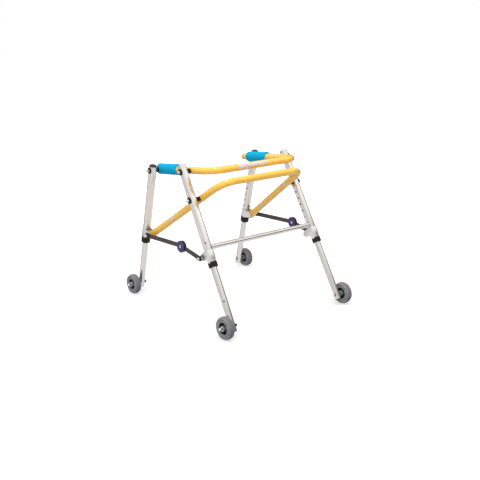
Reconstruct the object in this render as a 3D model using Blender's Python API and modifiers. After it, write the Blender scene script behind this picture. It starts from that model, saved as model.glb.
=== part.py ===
"""A small folding walker that rolls behind its user, on four wheels.

The frame stands on the floor at z = 0, centred on the origin.
+X is the right-hand side, +Y is the open front, and -Y is the end with the crossbars.
All sizes are in metres. Side is -1 on the left and +1 on the right.
"""

from math import acos, asin, cos, pi, radians, sin, sqrt

import bmesh
import bpy
from mathutils import Matrix, Vector

# Driving dimensions

# Gap left between two touching pieces
GAP = 0.0003

# Rails, legs and wheels
RAIL_RADIUS = 0.0127
RAIL_WALL = 0.0016
LEG_RADIUS = 0.0127
LEG_WALL = 0.0014
LEG_CORNER = 0.0075
SLIDE_RADIUS = 0.0110
SLIDE_WALL = 0.0015
WHEEL_RADIUS = {"front": 0.0380, "rear": 0.0405}
TYRE_HALF_WIDTH = 0.0127

# Sideways places
RAIL_X = 0.2002
FRONT_LEG_X = 0.2443
REAR_LEG_TOP_X = 0.2388
REAR_LEG_FOOT_X = 0.2499
WHEEL_X = 0.2805
BRACE_X = 0.2650

# Places in the side view, as (y, z)
FRONT_TOP_PIVOT = (0.1904, 0.5023)
REAR_TOP_PIVOT = (-0.0026, 0.5267)
FRONT_AXLE = (0.2936, WHEEL_RADIUS["front"])
REAR_AXLE = (-0.2936, WHEEL_RADIUS["rear"])
BRACE_HUB = (-0.0252, 0.2633)

# Distances down a leg from its top pivot, and from one fitting to the next
MID_PIVOT_DOWN = 0.1065
STRETCHER_DOWN = 0.2835
BRACKET_BELOW_STRETCHER = 0.0110
BRACKET_DOWN = {"front": 0.2385, "rear": STRETCHER_DOWN + BRACKET_BELOW_STRETCHER}
BRACKET_HEIGHT = {"front": 0.0330, "rear": 0.0310}
BUTTON_ABOVE_BRACKET = {"front": 0.0425, "rear": 0.0459}
PIVOT_BELOW_BRACKET_TOP = {"front": 0.0111, "rear": 0.0150}
COLLAR_BELOW_BRACKET = {"front": 0.0010, "rear": 0.0100}

# Other distances along a leg, and the low pivots' reach from its centre line
TUBE_TOP = {"front": 0.0160, "rear": 0.0250}
SLIDE_ABOVE_BUTTON = {"front": 0.0360, "rear": 0.0103}
SLIDE_PAST_AXLE = 0.0180
LOW_PIVOT_REACH = {"front": 0.0374, "rear": 0.0320}

# Height adjustment
HOLE_PITCH = 0.0254
HOLES_ABOVE_BUTTON = 4
HOLES_BELOW_BUTTON = 1
BUTTON_RADIUS = 0.0033
BUTTON_PROUD = 0.0036
BUTTON_ROUND = 0.0018
BUTTON_FLANGE_RADIUS = 0.0046
BUTTON_FLANGE_THICK = 0.0012
BUTTON_FLANGE_DEPTH = 0.0025

# Collars and plugs
COLLAR_HEIGHT = {"front": 0.0240, "rear": 0.0195}
COLLAR_WALL = {"front": 0.0021, "rear": 0.0015}
COLLAR_TUBE_SHARE = 0.7
COLLAR_DIP_RADIUS = 0.0120
COLLAR_DIP_DOWN = 0.0075
PLUG_DOME = 0.0062
PLUG_RIM = 0.0015
PLUG_DEPTH = 0.0060

# Rails
RAIL_FRONT_OVERHANG = 0.0180
UPPER_CROSSBAR_BACK = 0.1140
LOWER_CROSSBAR_BACK = 0.1230
RAIL_BEND_RADIUS = 0.0600
RAIL_PLUG_DEPTH = 0.0060
TONGUE_LENGTH = 0.0210
TONGUE_OVERLAP = 0.0120
TONGUE_THICK = 0.0180
TONGUE_HALF_HEIGHT = 0.0132
TONGUE_PAST_PIVOT = 0.0160
TONGUE_CORNER = 0.0060
BUSH_RADIUS = 0.0075

# Grips, and how far the left and the right one reach past the front pivot
GRIP_RADIUS = 0.0203
GRIP_LENGTH = {-1: 0.1230, 1: 0.1130}
GRIP_PAST_PIVOT = {-1: 0.0165, 1: -0.0180}
GRIP_END_ROUND = 0.0060

# A grip's waist, with its ends and its deepest place as shares of half the grip's length
GRIP_WAIST_DEPTH = 0.0008
GRIP_WAIST_REAR = 0.55
GRIP_WAIST_MIDDLE = 0.25
GRIP_WAIST_FRONT = -0.10

# Stretcher
STRETCHER_RADIUS = 0.0090
FITTING_RADIUS = 0.0098
FITTING_LENGTH = 0.0120
FITTING_TAPER = 0.0015

# Brackets
SHEET = 0.0018
BRACKET_BACK = 0.0060
EAR_RADIUS = 0.0110
EAR_TRIM = 0.0040
EAR_LOW_DEGREES = -65
EAR_HIGH_DEGREES = 90
EAR_HEEL = 0.0114

# Brace
BAR_THICK = 0.0035
BAR_WIDTH = 0.0165
BAR_END_RADIUS = 0.0095
HUB_RADIUS = 0.0208
HUB_PIN_RADIUS = 0.0040
HUB_CAP_RADIUS = 0.0070
HUB_CAP_HEIGHT = {-1: 0.0028, 1: 0.0006}
KNOB_RADIUS = 0.0215
KNOB_THICK = {-1: 0.0062, 1: 0.0040}
KNOB_EDGE = 0.0008
GROOVE_DEEP = 0.0007
GROOVE_WIDE = 0.0022
GROOVE_START = 0.0120
GROOVE_END = 0.0040
GROOVE_ROW = 0.22

# Fasteners
PIN_RADIUS = 0.0030
PIN_HOLE_RADIUS = PIN_RADIUS + GAP
WASHER_RADIUS = 0.0118
WASHER_THICK = 0.0024
NUT_RADIUS = 0.0062
NUT_LENGTH = 0.0125
NUT_SKIRT = 0.0042
NUT_STEP = 0.0005
NUT_CHAMFER = 0.0008
WASHER_SLOPE = 0.0018
HEAD_RADIUS = 0.0065
HEAD_HEIGHT = 0.0030
RIVET_RADIUS = 0.0058
RIVET_HEIGHT = 0.0030
REAR_WASHER_RADIUS = 0.0085
REAR_NUT_LENGTH = 0.0140
BITE = 0.0008
SPACER_RADIUS = 0.0090
SADDLE_DEPTH = 0.0040
MID_HEAD_BACK = 0.0022

# Low domes, as shares of their radius and height at a shoulder and at the edge
DOME_SHOULDER_RADIUS = 0.6
DOME_SHOULDER_HEIGHT = 0.8
DOME_EDGE_HEIGHT = 0.2

# Wheels
AXLE_RADIUS = 0.0040
AXLE_SHOULDER = 0.0062
AXLE_WASHER_RADIUS = 0.0092
AXLE_WASHER_THICK = 0.0014
AXLE_CAP_LENGTH = 0.0125
AXLE_NUT_LENGTH = 0.0060
AXLE_TIP = 0.0015
TYRE_CROWN = 0.0052
TYRE_SEAT_SHARE = 0.84
RIM_SHARE = 0.64
RING_WALL = 0.0042
RING_HALF = 0.0106
HUB_WALL = 0.0052
HUB_HALF_WIDTH = 0.0135
WEB_HALF = 0.0018
RIBS = 5
RIB_HALF_THICK = 0.0011
RIB_HALF_DEPTH = 0.0078

# Steps of round shapes, and lengths of cutters that pass right through
SIDES = {"left": -1, "right": 1}
ROUND_STEPS = 20
SLEEVE_STEPS = 16
HOLE_STEPS = 10
BOLT_STEPS = 12
WHEEL_STEPS = 28
RAIL_SIDES = 16
HOLLOW_SIDES = 12
SADDLE_SIDES = 24
CUT_THROUGH = 0.0600

# Scene and materials

PARTS_NAME = "wheeled_walker"
CUTTERS_NAME = "cutters"

for old in list(bpy.data.objects):
    bpy.data.objects.remove(old, do_unlink=True)

parts = bpy.data.collections.new(PARTS_NAME)
cutters = bpy.data.collections.new(CUTTERS_NAME)
bpy.context.scene.collection.children.link(parts)
bpy.context.scene.collection.children.link(cutters)


def make_material(name, colour, roughness, metallic=0.0):
    material = bpy.data.materials.new(name)
    material.use_nodes = True
    shader = material.node_tree.nodes["Principled BSDF"]
    shader.inputs["Base Color"].default_value = (*colour, 1.0)
    shader.inputs["Roughness"].default_value = roughness
    shader.inputs["Metallic"].default_value = metallic
    return material


LOOKS = {
    "yellow_paint": make_material("yellow_paint", (0.88, 0.50, 0.06), 0.35),
    "blue_foam": make_material("blue_foam", (0.0, 0.36, 0.62), 0.85),
    "aluminium": make_material("aluminium", (0.72, 0.71, 0.69), 0.38, 1.0),
    "zinc": make_material("zinc", (0.62, 0.62, 0.60), 0.28, 1.0),
    "black_plastic": make_material("black_plastic", (0.02, 0.019, 0.018), 0.55),
    "brown_plastic": make_material("brown_plastic", (0.05, 0.035, 0.03), 0.5),
    "purple_plastic": make_material("purple_plastic", (0.06, 0.045, 0.17), 0.45),
    "grey_rubber": make_material("grey_rubber", (0.20, 0.19, 0.21), 0.8),
    "grey_plastic": make_material("grey_plastic", (0.28, 0.31, 0.27), 0.6),
}

# Joints are empties that carry the pieces which move about them

joints = {}


def add_joint(name, place, parent=None):
    empty = bpy.data.objects.new(f"axis_{name}", None)
    empty.empty_display_size = 0.02
    parts.objects.link(empty)
    if parent:
        empty.parent = joints[parent]
        empty.location = Vector(place) - world_of(parent)
    else:
        empty.location = Vector(place)
    joints[name] = empty
    return empty


def world_of(name):
    place = Vector((0.0, 0.0, 0.0))
    node = joints[name]
    while node:
        place += node.location
        node = node.parent
    return place


def hang(piece, joint, matrix):
    """Places a piece at a world matrix, and parents it to a joint."""
    piece.parent = joints[joint]
    piece.matrix_local = Matrix.Translation(-world_of(joint)) @ matrix
    return piece


# Shapes


def arc(centre, radius, start, end, steps):
    """Points of an arc in a plane, with both of its ends."""
    found = []
    for i in range(steps + 1):
        angle = start + (end - start) * i / steps
        found.append((centre[0] + radius * cos(angle), centre[1] + radius * sin(angle)))
    return found


def circle(radius, steps=ROUND_STEPS, centre=(0.0, 0.0)):
    """A ring of points, with a flat side rather than a corner on each axis."""
    half_step = pi / steps
    return arc(centre, radius, half_step, 2 * pi + half_step, steps)[:-1]


def rounded_box(half_width, half_depth, corner, steps=3):
    points = []
    for number, (sx, sy) in enumerate(((1, 1), (-1, 1), (-1, -1), (1, -1))):
        centre = (sx * (half_width - corner), sy * (half_depth - corner))
        start = number * pi / 2
        points += arc(centre, corner, start, start + pi / 2, steps)
    return points


def link_mesh(name, mesh, look=None):
    piece = bpy.data.objects.new(name, mesh)
    if look:
        mesh.materials.append(LOOKS[look])
        parts.objects.link(piece)
    else:
        cutters.objects.link(piece)
        piece.hide_render = True
        piece.display_type = "WIRE"
    return piece


def mesh_from_curve(curve, name):
    """Turns a curve into a mesh whose caps are joined to its walls."""
    holder = bpy.data.objects.new(name, curve)
    cutters.objects.link(holder)
    bpy.context.view_layer.update()
    mesh = bpy.data.meshes.new_from_object(holder.evaluated_get(bpy.context.evaluated_depsgraph_get()))
    bpy.data.objects.remove(holder, do_unlink=True)
    bpy.data.curves.remove(curve)
    mesh.name = name
    work = bmesh.new()
    work.from_mesh(mesh)
    bmesh.ops.remove_doubles(work, verts=work.verts, dist=0.00001)
    bmesh.ops.recalc_face_normals(work, faces=work.faces)
    work.to_mesh(mesh)
    work.free()
    return mesh


def prism(name, outlines, depth):
    """A flat outline, with any holes, made solid along z about the middle."""
    curve = bpy.data.curves.new(name, "CURVE")
    curve.dimensions = "2D"
    curve.fill_mode = "BOTH"
    curve.extrude = depth / 2
    curve.render_resolution_u = 0
    for points in outlines:
        spline = curve.splines.new("POLY")
        spline.points.add(len(points) - 1)
        for point, (x, y) in zip(spline.points, points):
            point.co = (x, y, 0.0, 1.0)
        spline.use_cyclic_u = True
    return mesh_from_curve(curve, name)


def swept_tube(name, path, radius, sides=RAIL_SIDES):
    """A capped tube along a path."""
    curve = bpy.data.curves.new(name, "CURVE")
    curve.dimensions = "3D"
    curve.bevel_depth = radius
    curve.bevel_resolution = (sides - 4) // 2
    curve.render_resolution_u = 0
    curve.use_fill_caps = True
    spline = curve.splines.new("POLY")
    spline.points.add(len(path) - 1)
    for point, place in zip(spline.points, path):
        point.co = (*place, 1.0)
    return mesh_from_curve(curve, name)


def turned(name, profile, steps=ROUND_STEPS, closed=False):
    """A profile of (radius, z) points turned about z, from the top down its outer side."""
    mesh = bpy.data.meshes.new(name)
    work = bmesh.new()
    verts = [work.verts.new((r, 0.0, z)) for r, z in profile]
    for a, b in zip(verts, verts[1:]):
        work.edges.new((a, b))
    if closed:
        work.edges.new((verts[-1], verts[0]))
    work.to_mesh(mesh)
    work.free()
    holder = bpy.data.objects.new(name, mesh)
    cutters.objects.link(holder)
    screw = holder.modifiers.new("turn", "SCREW")
    screw.steps = steps
    screw.render_steps = steps
    screw.use_merge_vertices = True
    screw.merge_threshold = 0.00001
    bpy.context.view_layer.update()
    done = bpy.data.meshes.new_from_object(holder.evaluated_get(bpy.context.evaluated_depsgraph_get()))
    bpy.data.objects.remove(holder, do_unlink=True)
    done.name = name
    work = bmesh.new()
    work.from_mesh(done)
    bmesh.ops.recalc_face_normals(work, faces=work.faces)
    work.to_mesh(done)
    work.free()
    return done


def low_dome(radius, start, height):
    """Profile points of a low dome that stands on a face at start, from its tip to its edge."""
    shoulder = (radius * DOME_SHOULDER_RADIUS, start + height * DOME_SHOULDER_HEIGHT)
    return [(0.0, start + height), shoulder, (radius, start + height * DOME_EDGE_HEIGHT)]


def domed_shank(stop, height, radius, shank, start):
    """The profile of a shank from start to stop along z, with a low dome on its far end."""
    profile = low_dome(radius, stop, height)
    if shank < radius:
        profile += [(radius, stop), (shank, stop)]
    return profile + [(shank, start), (0.0, start)]


def rounded_path(corners, radius, steps=6):
    """A path through corner points, whose inner corners are turned into arcs."""
    corners = [Vector(c) for c in corners]
    path = [corners[0]]
    for before, corner, after in zip(corners, corners[1:], corners[2:]):
        back = (before - corner).normalized()
        on = (after - corner).normalized()
        half = acos(back.dot(on)) / 2
        middle = corner + (back + on).normalized() * radius / sin(half)
        start = corner + back * radius * cos(half) / sin(half) - middle
        axis = on.cross(back)
        for i in range(steps + 1):
            turn = Matrix.Rotation((pi - 2 * half) * i / steps, 3, axis)
            path.append(middle + turn @ start)
    path.append(corners[-1])
    return path


def boolean(piece, tool, operation="DIFFERENCE"):
    modifier = piece.modifiers.new(operation.lower(), "BOOLEAN")
    modifier.operation = operation
    modifier.solver = "EXACT"
    modifier.object = tool


def tool(name, mesh, matrix):
    cutter = link_mesh(name, mesh)
    cutter.matrix_world = matrix
    return cutter


def smooth(piece, angle=35.0):
    mesh = piece.data
    mesh.shade_smooth()
    mesh.set_sharp_from_angle(angle=radians(angle))


# Frames

ALONG_X = Matrix.Rotation(pi / 2, 4, "Y")
TO_LEFT = Matrix.Rotation(-pi / 2, 4, "Y")
SIDE_VIEW = Matrix(((0, 0, 1), (1, 0, 0), (0, 1, 0))).to_4x4()


def point(x, side_view):
    return Vector((x, side_view[0], side_view[1]))


def leg_frame(top, axle):
    """A leg's own axes: z up the leg, x sideways and y forward, from its top pivot."""
    up = (top - axle).normalized()
    across = (Vector((1.0, 0.0, 0.0)) - up * up.x).normalized()
    forward = up.cross(across)
    frame = Matrix((across, forward, up)).transposed().to_4x4()
    frame.translation = top
    return frame


def on_leg(frame, down, forward=0.0, sideways=0.0):
    return frame @ Vector((sideways, forward, -down))


def at(place, turn=None):
    """A world matrix at a place, turned if need be."""
    return Matrix.Translation(place) @ (turn or Matrix.Identity(4))


LEG_TOPS = {
    "front": lambda side: point(side * FRONT_LEG_X, FRONT_TOP_PIVOT),
    "rear": lambda side: point(side * REAR_LEG_TOP_X, REAR_TOP_PIVOT),
}
AXLES = {
    "front": lambda side: point(side * FRONT_LEG_X, FRONT_AXLE),
    "rear": lambda side: point(side * REAR_LEG_FOOT_X, REAR_AXLE),
}


def frame_of(end, side):
    return leg_frame(LEG_TOPS[end](side), AXLES[end](side))


def leg_length(end):
    return (LEG_TOPS[end](1) - AXLES[end](1)).length


def button_down(end):
    return BRACKET_DOWN[end] - BUTTON_ABOVE_BRACKET[end]


def low_pivot_down(end):
    return BRACKET_DOWN[end] + PIVOT_BELOW_BRACKET_TOP[end]


def collar_down(end):
    return BRACKET_DOWN[end] + BRACKET_HEIGHT[end] + COLLAR_BELOW_BRACKET[end]


def low_pivot(end, side):
    reach = LOW_PIVOT_REACH[end]
    return on_leg(frame_of(end, side), low_pivot_down(end), -reach if end == "front" else reach)


def mid_pivot(side):
    return on_leg(frame_of("rear", side), MID_PIVOT_DOWN)


def hub_place(side):
    return point(side * BRACE_X, BRACE_HUB)


# The tree of joints

add_joint("frame_root", (0.0, 0.0, 0.0))
add_joint("rear_fold", (0.0, *REAR_TOP_PIVOT), "frame_root")
add_joint("lower_rail_fold", (0.0, *mid_pivot(1).yz), "rear_fold")
for word, side in SIDES.items():
    add_joint(f"front_fold_{word}", LEG_TOPS["front"](side), "frame_root")
    add_joint(f"brace_front_{word}", low_pivot("front", side), f"front_fold_{word}")
    add_joint(f"brace_hub_{word}", hub_place(side), f"brace_front_{word}")
    for end, parent in (("front", f"front_fold_{word}"), ("rear", "rear_fold")):
        add_joint(f"slide_{end}_{word}", LEG_TOPS[end](side), parent)
        wheel = AXLES[end](side)
        wheel.x = side * WHEEL_X
        add_joint(f"wheel_{end}_{word}", wheel, f"slide_{end}_{word}")

# Legs


def leg_section(grow=0.0):
    """The outline of a leg tube: a square with well rounded corners."""
    size = LEG_RADIUS + grow
    return rounded_box(size, size, LEG_CORNER + grow)


def pin_tool(name, place, radius, length=CUT_THROUGH, steps=HOLE_STEPS):
    """A cutter along x, centred on a place."""
    return tool(name, prism(name, [circle(radius, steps)], length), at(place, ALONG_X))


def wall_tool(name, frame, sideways, down, wall):
    """A cutter for a button's hole in one wall of a leg."""
    mesh = prism(name, [circle(BUTTON_RADIUS + GAP, HOLE_STEPS)], 4 * wall)
    return tool(name, mesh, frame @ at((sideways, 0.0, -down), ALONG_X))


def tube_bottom(end):
    """How far down the outer tube ends, inside its collar."""
    return collar_down(end) + COLLAR_HEIGHT[end] * COLLAR_TUBE_SHARE


def make_leg_tube(end, word, joint):
    side = SIDES[word]
    frame = frame_of(end, side)
    top = TUBE_TOP[end]
    bottom = tube_bottom(end)
    outlines = [leg_section(), leg_section(-LEG_WALL)]
    name = f"leg_tube_{end}_{word}"
    tube = link_mesh(name, prism(name, outlines, top + bottom), "aluminium")
    tube.data.transform(Matrix.Translation((0.0, 0.0, (top - bottom) / 2)))
    hang(tube, joint, frame)
    pin_downs = [0.0] if end == "front" else [0.0, MID_PIVOT_DOWN]
    for number, down in enumerate(pin_downs):
        boolean(tube, pin_tool(f"cut_{name}_pin_{number}", on_leg(frame, down), PIN_HOLE_RADIUS))
    inner_wall = -side * (LEG_RADIUS - LEG_WALL / 2)
    for number in range(-HOLES_ABOVE_BUTTON, HOLES_BELOW_BUTTON + 1):
        down = button_down(end) + number * HOLE_PITCH
        cutter_name = f"cut_{name}_hole_{number + HOLES_ABOVE_BUTTON}"
        boolean(tube, wall_tool(cutter_name, frame, inner_wall, down, LEG_WALL))
    smooth(tube)


def make_collar(end, word, joint):
    """A moulded collar round the end of the outer tube, with a dipped top edge."""
    frame = frame_of(end, SIDES[word])
    start = collar_down(end)
    height = COLLAR_HEIGHT[end]
    name = f"collar_{end}_{word}"
    collar = link_mesh(name, prism(name, [leg_section(COLLAR_WALL[end])], height), "black_plastic")
    collar.data.transform(Matrix.Translation((0.0, 0.0, -start - height / 2)))
    hang(collar, joint, frame)
    seat = prism(f"cut_{name}_seat", [leg_section(GAP)], 2 * (height * COLLAR_TUBE_SHARE + GAP))
    boolean(collar, tool(f"cut_{name}_seat", seat, frame @ at((0.0, 0.0, -start))))
    bore = prism(f"cut_{name}_bore", [circle(SLIDE_RADIUS + GAP)], 2 * CUT_THROUGH)
    boolean(collar, tool(f"cut_{name}_bore", bore, frame @ at((0.0, 0.0, -start))))
    dip = prism(f"cut_{name}_dip", [circle(COLLAR_DIP_RADIUS)], CUT_THROUGH)
    middle = (0.0, 0.0, -start + COLLAR_DIP_DOWN)
    boolean(collar, tool(f"cut_{name}_dip", dip, frame @ at(middle, ALONG_X)))
    smooth(collar)


def make_extension(end, word, joint):
    side = SIDES[word]
    frame = frame_of(end, side)
    top = button_down(end) - SLIDE_ABOVE_BUTTON[end]
    bottom = leg_length(end) + SLIDE_PAST_AXLE
    name = f"leg_extension_{end}_{word}"
    outlines = [circle(SLIDE_RADIUS), circle(SLIDE_RADIUS - SLIDE_WALL, BOLT_STEPS)]
    tube = link_mesh(name, prism(name, outlines, bottom - top), "aluminium")
    tube.data.transform(Matrix.Translation((0.0, 0.0, -(bottom + top) / 2)))
    hang(tube, joint, frame)
    boolean(tube, pin_tool(f"cut_{name}_axle", AXLES[end](side), AXLE_RADIUS + GAP))
    inner_wall = -side * (SLIDE_RADIUS - SLIDE_WALL / 2)
    boolean(tube, wall_tool(f"cut_{name}_button", frame, inner_wall, button_down(end), SLIDE_WALL))
    smooth(tube)


def make_button(end, word, joint):
    """A spring button with a flange inside the tube and a domed tip outside the leg."""
    side = SIDES[word]
    tip = LEG_RADIUS + BUTTON_PROUD
    base = SLIDE_RADIUS - SLIDE_WALL - BUTTON_FLANGE_DEPTH
    back = base - BUTTON_FLANGE_THICK
    profile = low_dome(BUTTON_RADIUS, tip - BUTTON_ROUND, BUTTON_ROUND) + [(BUTTON_RADIUS, base)]
    profile += [(BUTTON_FLANGE_RADIUS, base), (BUTTON_FLANGE_RADIUS, back), (0.0, back)]
    name = f"snap_button_{end}_{word}"
    piece = link_mesh(name, turned(name, profile, HOLE_STEPS), "zinc")
    toward_middle = Matrix.Rotation(-side * pi / 2, 4, "Y")
    hang(piece, joint, frame_of(end, side) @ at((0.0, 0.0, -button_down(end)), toward_middle))
    smooth(piece)


def make_top_plug(word, joint):
    """A domed plug in the top of a front leg, with a rim over the tube's end."""
    base = TUBE_TOP["front"] + GAP
    profile = [(0.0, base + PLUG_DOME)]
    steps = 5
    for i in range(1, steps + 1):
        angle = pi / 2 * (1 - i / steps)
        rise = PLUG_RIM + (PLUG_DOME - PLUG_RIM) * sin(angle)
        profile.append((LEG_RADIUS * cos(angle), base + rise))
    inner = LEG_RADIUS - LEG_WALL - GAP
    profile += [(LEG_RADIUS, base), (inner, base), (inner, base - PLUG_DEPTH), (0.0, base - PLUG_DEPTH)]
    name = f"top_plug_{word}"
    piece = link_mesh(name, turned(name, profile), "brown_plastic")
    hang(piece, joint, frame_of("front", SIDES[word]))
    smooth(piece)


# Rails


def rail_direction(a, b):
    return (Vector((0.0, *b)) - Vector((0.0, *a))).normalized()


def upper_rail_path(shorter=0.0):
    """From the left front end round the rear crossbar to the right front end."""
    back = rail_direction(FRONT_TOP_PIVOT, REAR_TOP_PIVOT)
    front = Vector((0.0, *FRONT_TOP_PIVOT)) - back * (RAIL_FRONT_OVERHANG - shorter)
    rear = Vector((0.0, *REAR_TOP_PIVOT)) + back * UPPER_CROSSBAR_BACK
    side = Vector((RAIL_X, 0.0, 0.0))
    return rounded_path([front - side, rear - side, rear + side, front + side], RAIL_BEND_RADIUS)


def lower_rail_side(side):
    """The front end, the middle pivot's place and the rear corner of one arm's centre line."""
    front = low_pivot("front", side)
    middle = mid_pivot(side)
    middle.x = side * RAIL_X
    arm = (middle - front).normalized()
    return front, middle, arm


def lower_rail_path(shorter=0.0):
    corners = []
    for side in (-1, 1):
        front, middle, arm = lower_rail_side(side)
        corners.append((front + arm * (TONGUE_LENGTH + shorter), middle + arm * LOWER_CROSSBAR_BACK))
    (left_front, left_rear), (right_front, right_rear) = corners
    return rounded_path([left_front, left_rear, right_rear, right_front], RAIL_BEND_RADIUS)


def make_rail(name, path, inner_path):
    """A tube along a path, hollow between its plugged ends."""
    rail = link_mesh(name, swept_tube(name, path, RAIL_RADIUS), "yellow_paint")
    hollow = swept_tube(f"cut_{name}_hollow", inner_path, RAIL_RADIUS - RAIL_WALL, HOLLOW_SIDES)
    boolean(rail, tool(f"cut_{name}_hollow", hollow, Matrix.Identity(4)))
    return rail


def make_upper_rail():
    name = "upper_rail"
    rail = make_rail(name, upper_rail_path(), upper_rail_path(RAIL_PLUG_DEPTH))
    hang(rail, "frame_root", Matrix.Identity(4))
    for word, side in SIDES.items():
        for spot, place in (("front", FRONT_TOP_PIVOT), ("rear", REAR_TOP_PIVOT)):
            centre = point(side * RAIL_X, place)
            boolean(rail, pin_tool(f"cut_{name}_{spot}_{word}", centre, PIN_HOLE_RADIUS))
    smooth(rail)


def tongue_outline():
    """The side view of a flattened end, with x along the arm from its pivot."""
    past = TONGUE_PAST_PIVOT - TONGUE_CORNER
    half = TONGUE_HALF_HEIGHT - TONGUE_CORNER
    outline = arc((-past, half), TONGUE_CORNER, pi / 2, pi, 4)
    outline += arc((-past, -half), TONGUE_CORNER, pi, 3 * pi / 2, 4)
    reach = TONGUE_LENGTH + TONGUE_OVERLAP
    return outline + [(reach, -TONGUE_HALF_HEIGHT), (reach, TONGUE_HALF_HEIGHT)]


def make_lower_rail():
    """The lower U, whose front ends are flattened to fit between the front brackets' ears."""
    name = "lower_rail"
    rail = make_rail(name, lower_rail_path(), lower_rail_path(RAIL_PLUG_DEPTH))
    for word, side in SIDES.items():
        front, middle, arm = lower_rail_side(side)
        flat = Vector((0.0, arm.y, arm.z)).normalized()
        mesh = prism(f"add_{name}_tongue_{word}", [tongue_outline()], TONGUE_THICK)
        lie = Matrix((flat, flat.cross(Vector((-1.0, 0.0, 0.0))), Vector((1.0, 0.0, 0.0)))).transposed()
        boolean(rail, tool(f"add_{name}_tongue_{word}", mesh, at(front, lie.to_4x4())), "UNION")
        bush_outline = circle(BUSH_RADIUS, SLEEVE_STEPS)
        bush = prism(f"add_{name}_bush_{word}", [bush_outline], 2 * (LEG_RADIUS - 2 * GAP))
        boolean(rail, tool(f"add_{name}_bush_{word}", bush, at(front, ALONG_X)), "UNION")
        for spot, place in (("low", front), ("mid", middle)):
            boolean(rail, pin_tool(f"cut_{name}_{spot}_{word}", place, PIN_HOLE_RADIUS))
    origin = world_of("lower_rail_fold")
    rail.data.transform(Matrix.Translation(-origin))
    hang(rail, "lower_rail_fold", Matrix.Translation(origin))
    smooth(rail)


def make_grip(word):
    """A foam sleeve on the upper rail, with a shallow waist and rounded ends."""
    side = SIDES[word]
    name = f"grip_{word}"
    half = GRIP_LENGTH[side] / 2
    steps = 3
    profile = []
    for i in range(steps + 1):
        angle = pi / 2 * (1 - i / steps)
        radius = GRIP_RADIUS - GRIP_END_ROUND * (1 - cos(angle))
        profile.append((radius, half - GRIP_END_ROUND * (1 - sin(angle))))
    end_points = profile[:]
    profile.append((GRIP_RADIUS, half * GRIP_WAIST_REAR))
    profile.append((GRIP_RADIUS - GRIP_WAIST_DEPTH, half * GRIP_WAIST_MIDDLE))
    profile.append((GRIP_RADIUS, half * GRIP_WAIST_FRONT))
    profile += [(r, -z) for r, z in reversed(end_points)]
    profile += [(RAIL_RADIUS + GAP, -half), (RAIL_RADIUS + GAP, half)]
    foam = link_mesh(name, turned(name, profile, closed=True), "blue_foam")
    back = rail_direction(FRONT_TOP_PIVOT, REAR_TOP_PIVOT)
    pivot = point(side * RAIL_X, FRONT_TOP_PIVOT)
    from_pivot = half - GRIP_PAST_PIVOT[side]
    turn = back.to_track_quat("-Z", "Y").to_matrix().to_4x4()
    hang(foam, "frame_root", at(pivot + back * from_pivot, turn))
    if from_pivot < half + SPACER_RADIUS:
        boolean(foam, pin_tool(f"cut_{name}_notch", pivot, SPACER_RADIUS + 2 * GAP, steps=ROUND_STEPS))
    smooth(foam)


def make_stretcher():
    """The bar between the rear legs, with a wider fitting at each end."""
    name = "stretcher"
    place = on_leg(frame_of("rear", 1), STRETCHER_DOWN)
    face = place.x - LEG_RADIUS - 2 * GAP
    inner = face - FITTING_LENGTH
    profile = [(0.0, face), (FITTING_RADIUS, face), (FITTING_RADIUS, inner)]
    profile.append((STRETCHER_RADIUS, inner - FITTING_TAPER))
    profile += [(r, -z) for r, z in reversed(profile)]
    bar = link_mesh(name, turned(name, profile), "aluminium")
    hang(bar, "rear_fold", at((0.0, place.y, place.z), ALONG_X))
    smooth(bar)


# Fasteners and spacers


def nut_profile(base, length, washer_radius, bottom):
    """A domed nut on a dished washer, from its tip down to where the washer bears."""
    flat = base + NUT_SKIRT
    profile = [(0.0, base + length)]
    steps = 3
    for i in range(1, steps + 1):
        angle = pi / 2 * (1 - i / steps)
        rise = (length - NUT_SKIRT) * sin(angle)
        profile.append(((NUT_RADIUS - NUT_STEP) * cos(angle), flat + rise))
    profile += [(NUT_RADIUS, flat - NUT_CHAMFER), (NUT_RADIUS, base)]
    profile += [(washer_radius - WASHER_SLOPE, base), (washer_radius, (base + bottom) / 2)]
    return profile + [(washer_radius, bottom)]


def make_pin(name, joint, place, side, inner, washer, shoulder=None):
    """A bolt along x: a low head inside, a dished washer and a domed nut outside.

    Inner is where the head bears, and washer is where the washer bears, as distances from the middle plane.
    A bolt with a shoulder has no head: it ends at inner, and the shoulder fills a gap along it.
    """
    shank = PIN_RADIUS
    profile = nut_profile(washer + WASHER_THICK, NUT_LENGTH, WASHER_RADIUS, washer) + [(shank, washer)]
    if shoulder:
        start, stop = shoulder
        profile += [(shank, stop), (HEAD_RADIUS, stop), (HEAD_RADIUS, start), (shank, start)]
        profile += [(shank, inner), (0.0, inner)]
    else:
        profile += [(shank, inner), (HEAD_RADIUS, inner)]
        profile += [(r, inner - z) for r, z in reversed(low_dome(HEAD_RADIUS, 0.0, HEAD_HEIGHT))]
    pin = link_mesh(name, turned(name, profile, BOLT_STEPS), "zinc")
    outward = Matrix.Rotation(side * pi / 2, 4, "Y")
    hang(pin, joint, at((0.0, place.y, place.z), outward))
    smooth(pin)


def make_spacer(name, joint, place, side, inner, outer, rail_from, rail_to):
    """A sleeve between a rail and a leg, hollowed where it bears on the round rail."""
    length = outer - inner + SADDLE_DEPTH
    outlines = [circle(SPACER_RADIUS, SLEEVE_STEPS), circle(PIN_HOLE_RADIUS, HOLE_STEPS)]
    mesh = prism(name, outlines, length)
    sleeve = link_mesh(name, mesh, "black_plastic")
    middle = (outer + inner - SADDLE_DEPTH) / 2
    hang(sleeve, joint, at((side * middle, place.y, place.z), ALONG_X))
    saddle = swept_tube(f"cut_{name}", [rail_from, rail_to], RAIL_RADIUS + GAP, SADDLE_SIDES)
    boolean(sleeve, tool(f"cut_{name}", saddle, Matrix.Identity(4)))
    smooth(sleeve)


# Brackets


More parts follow.
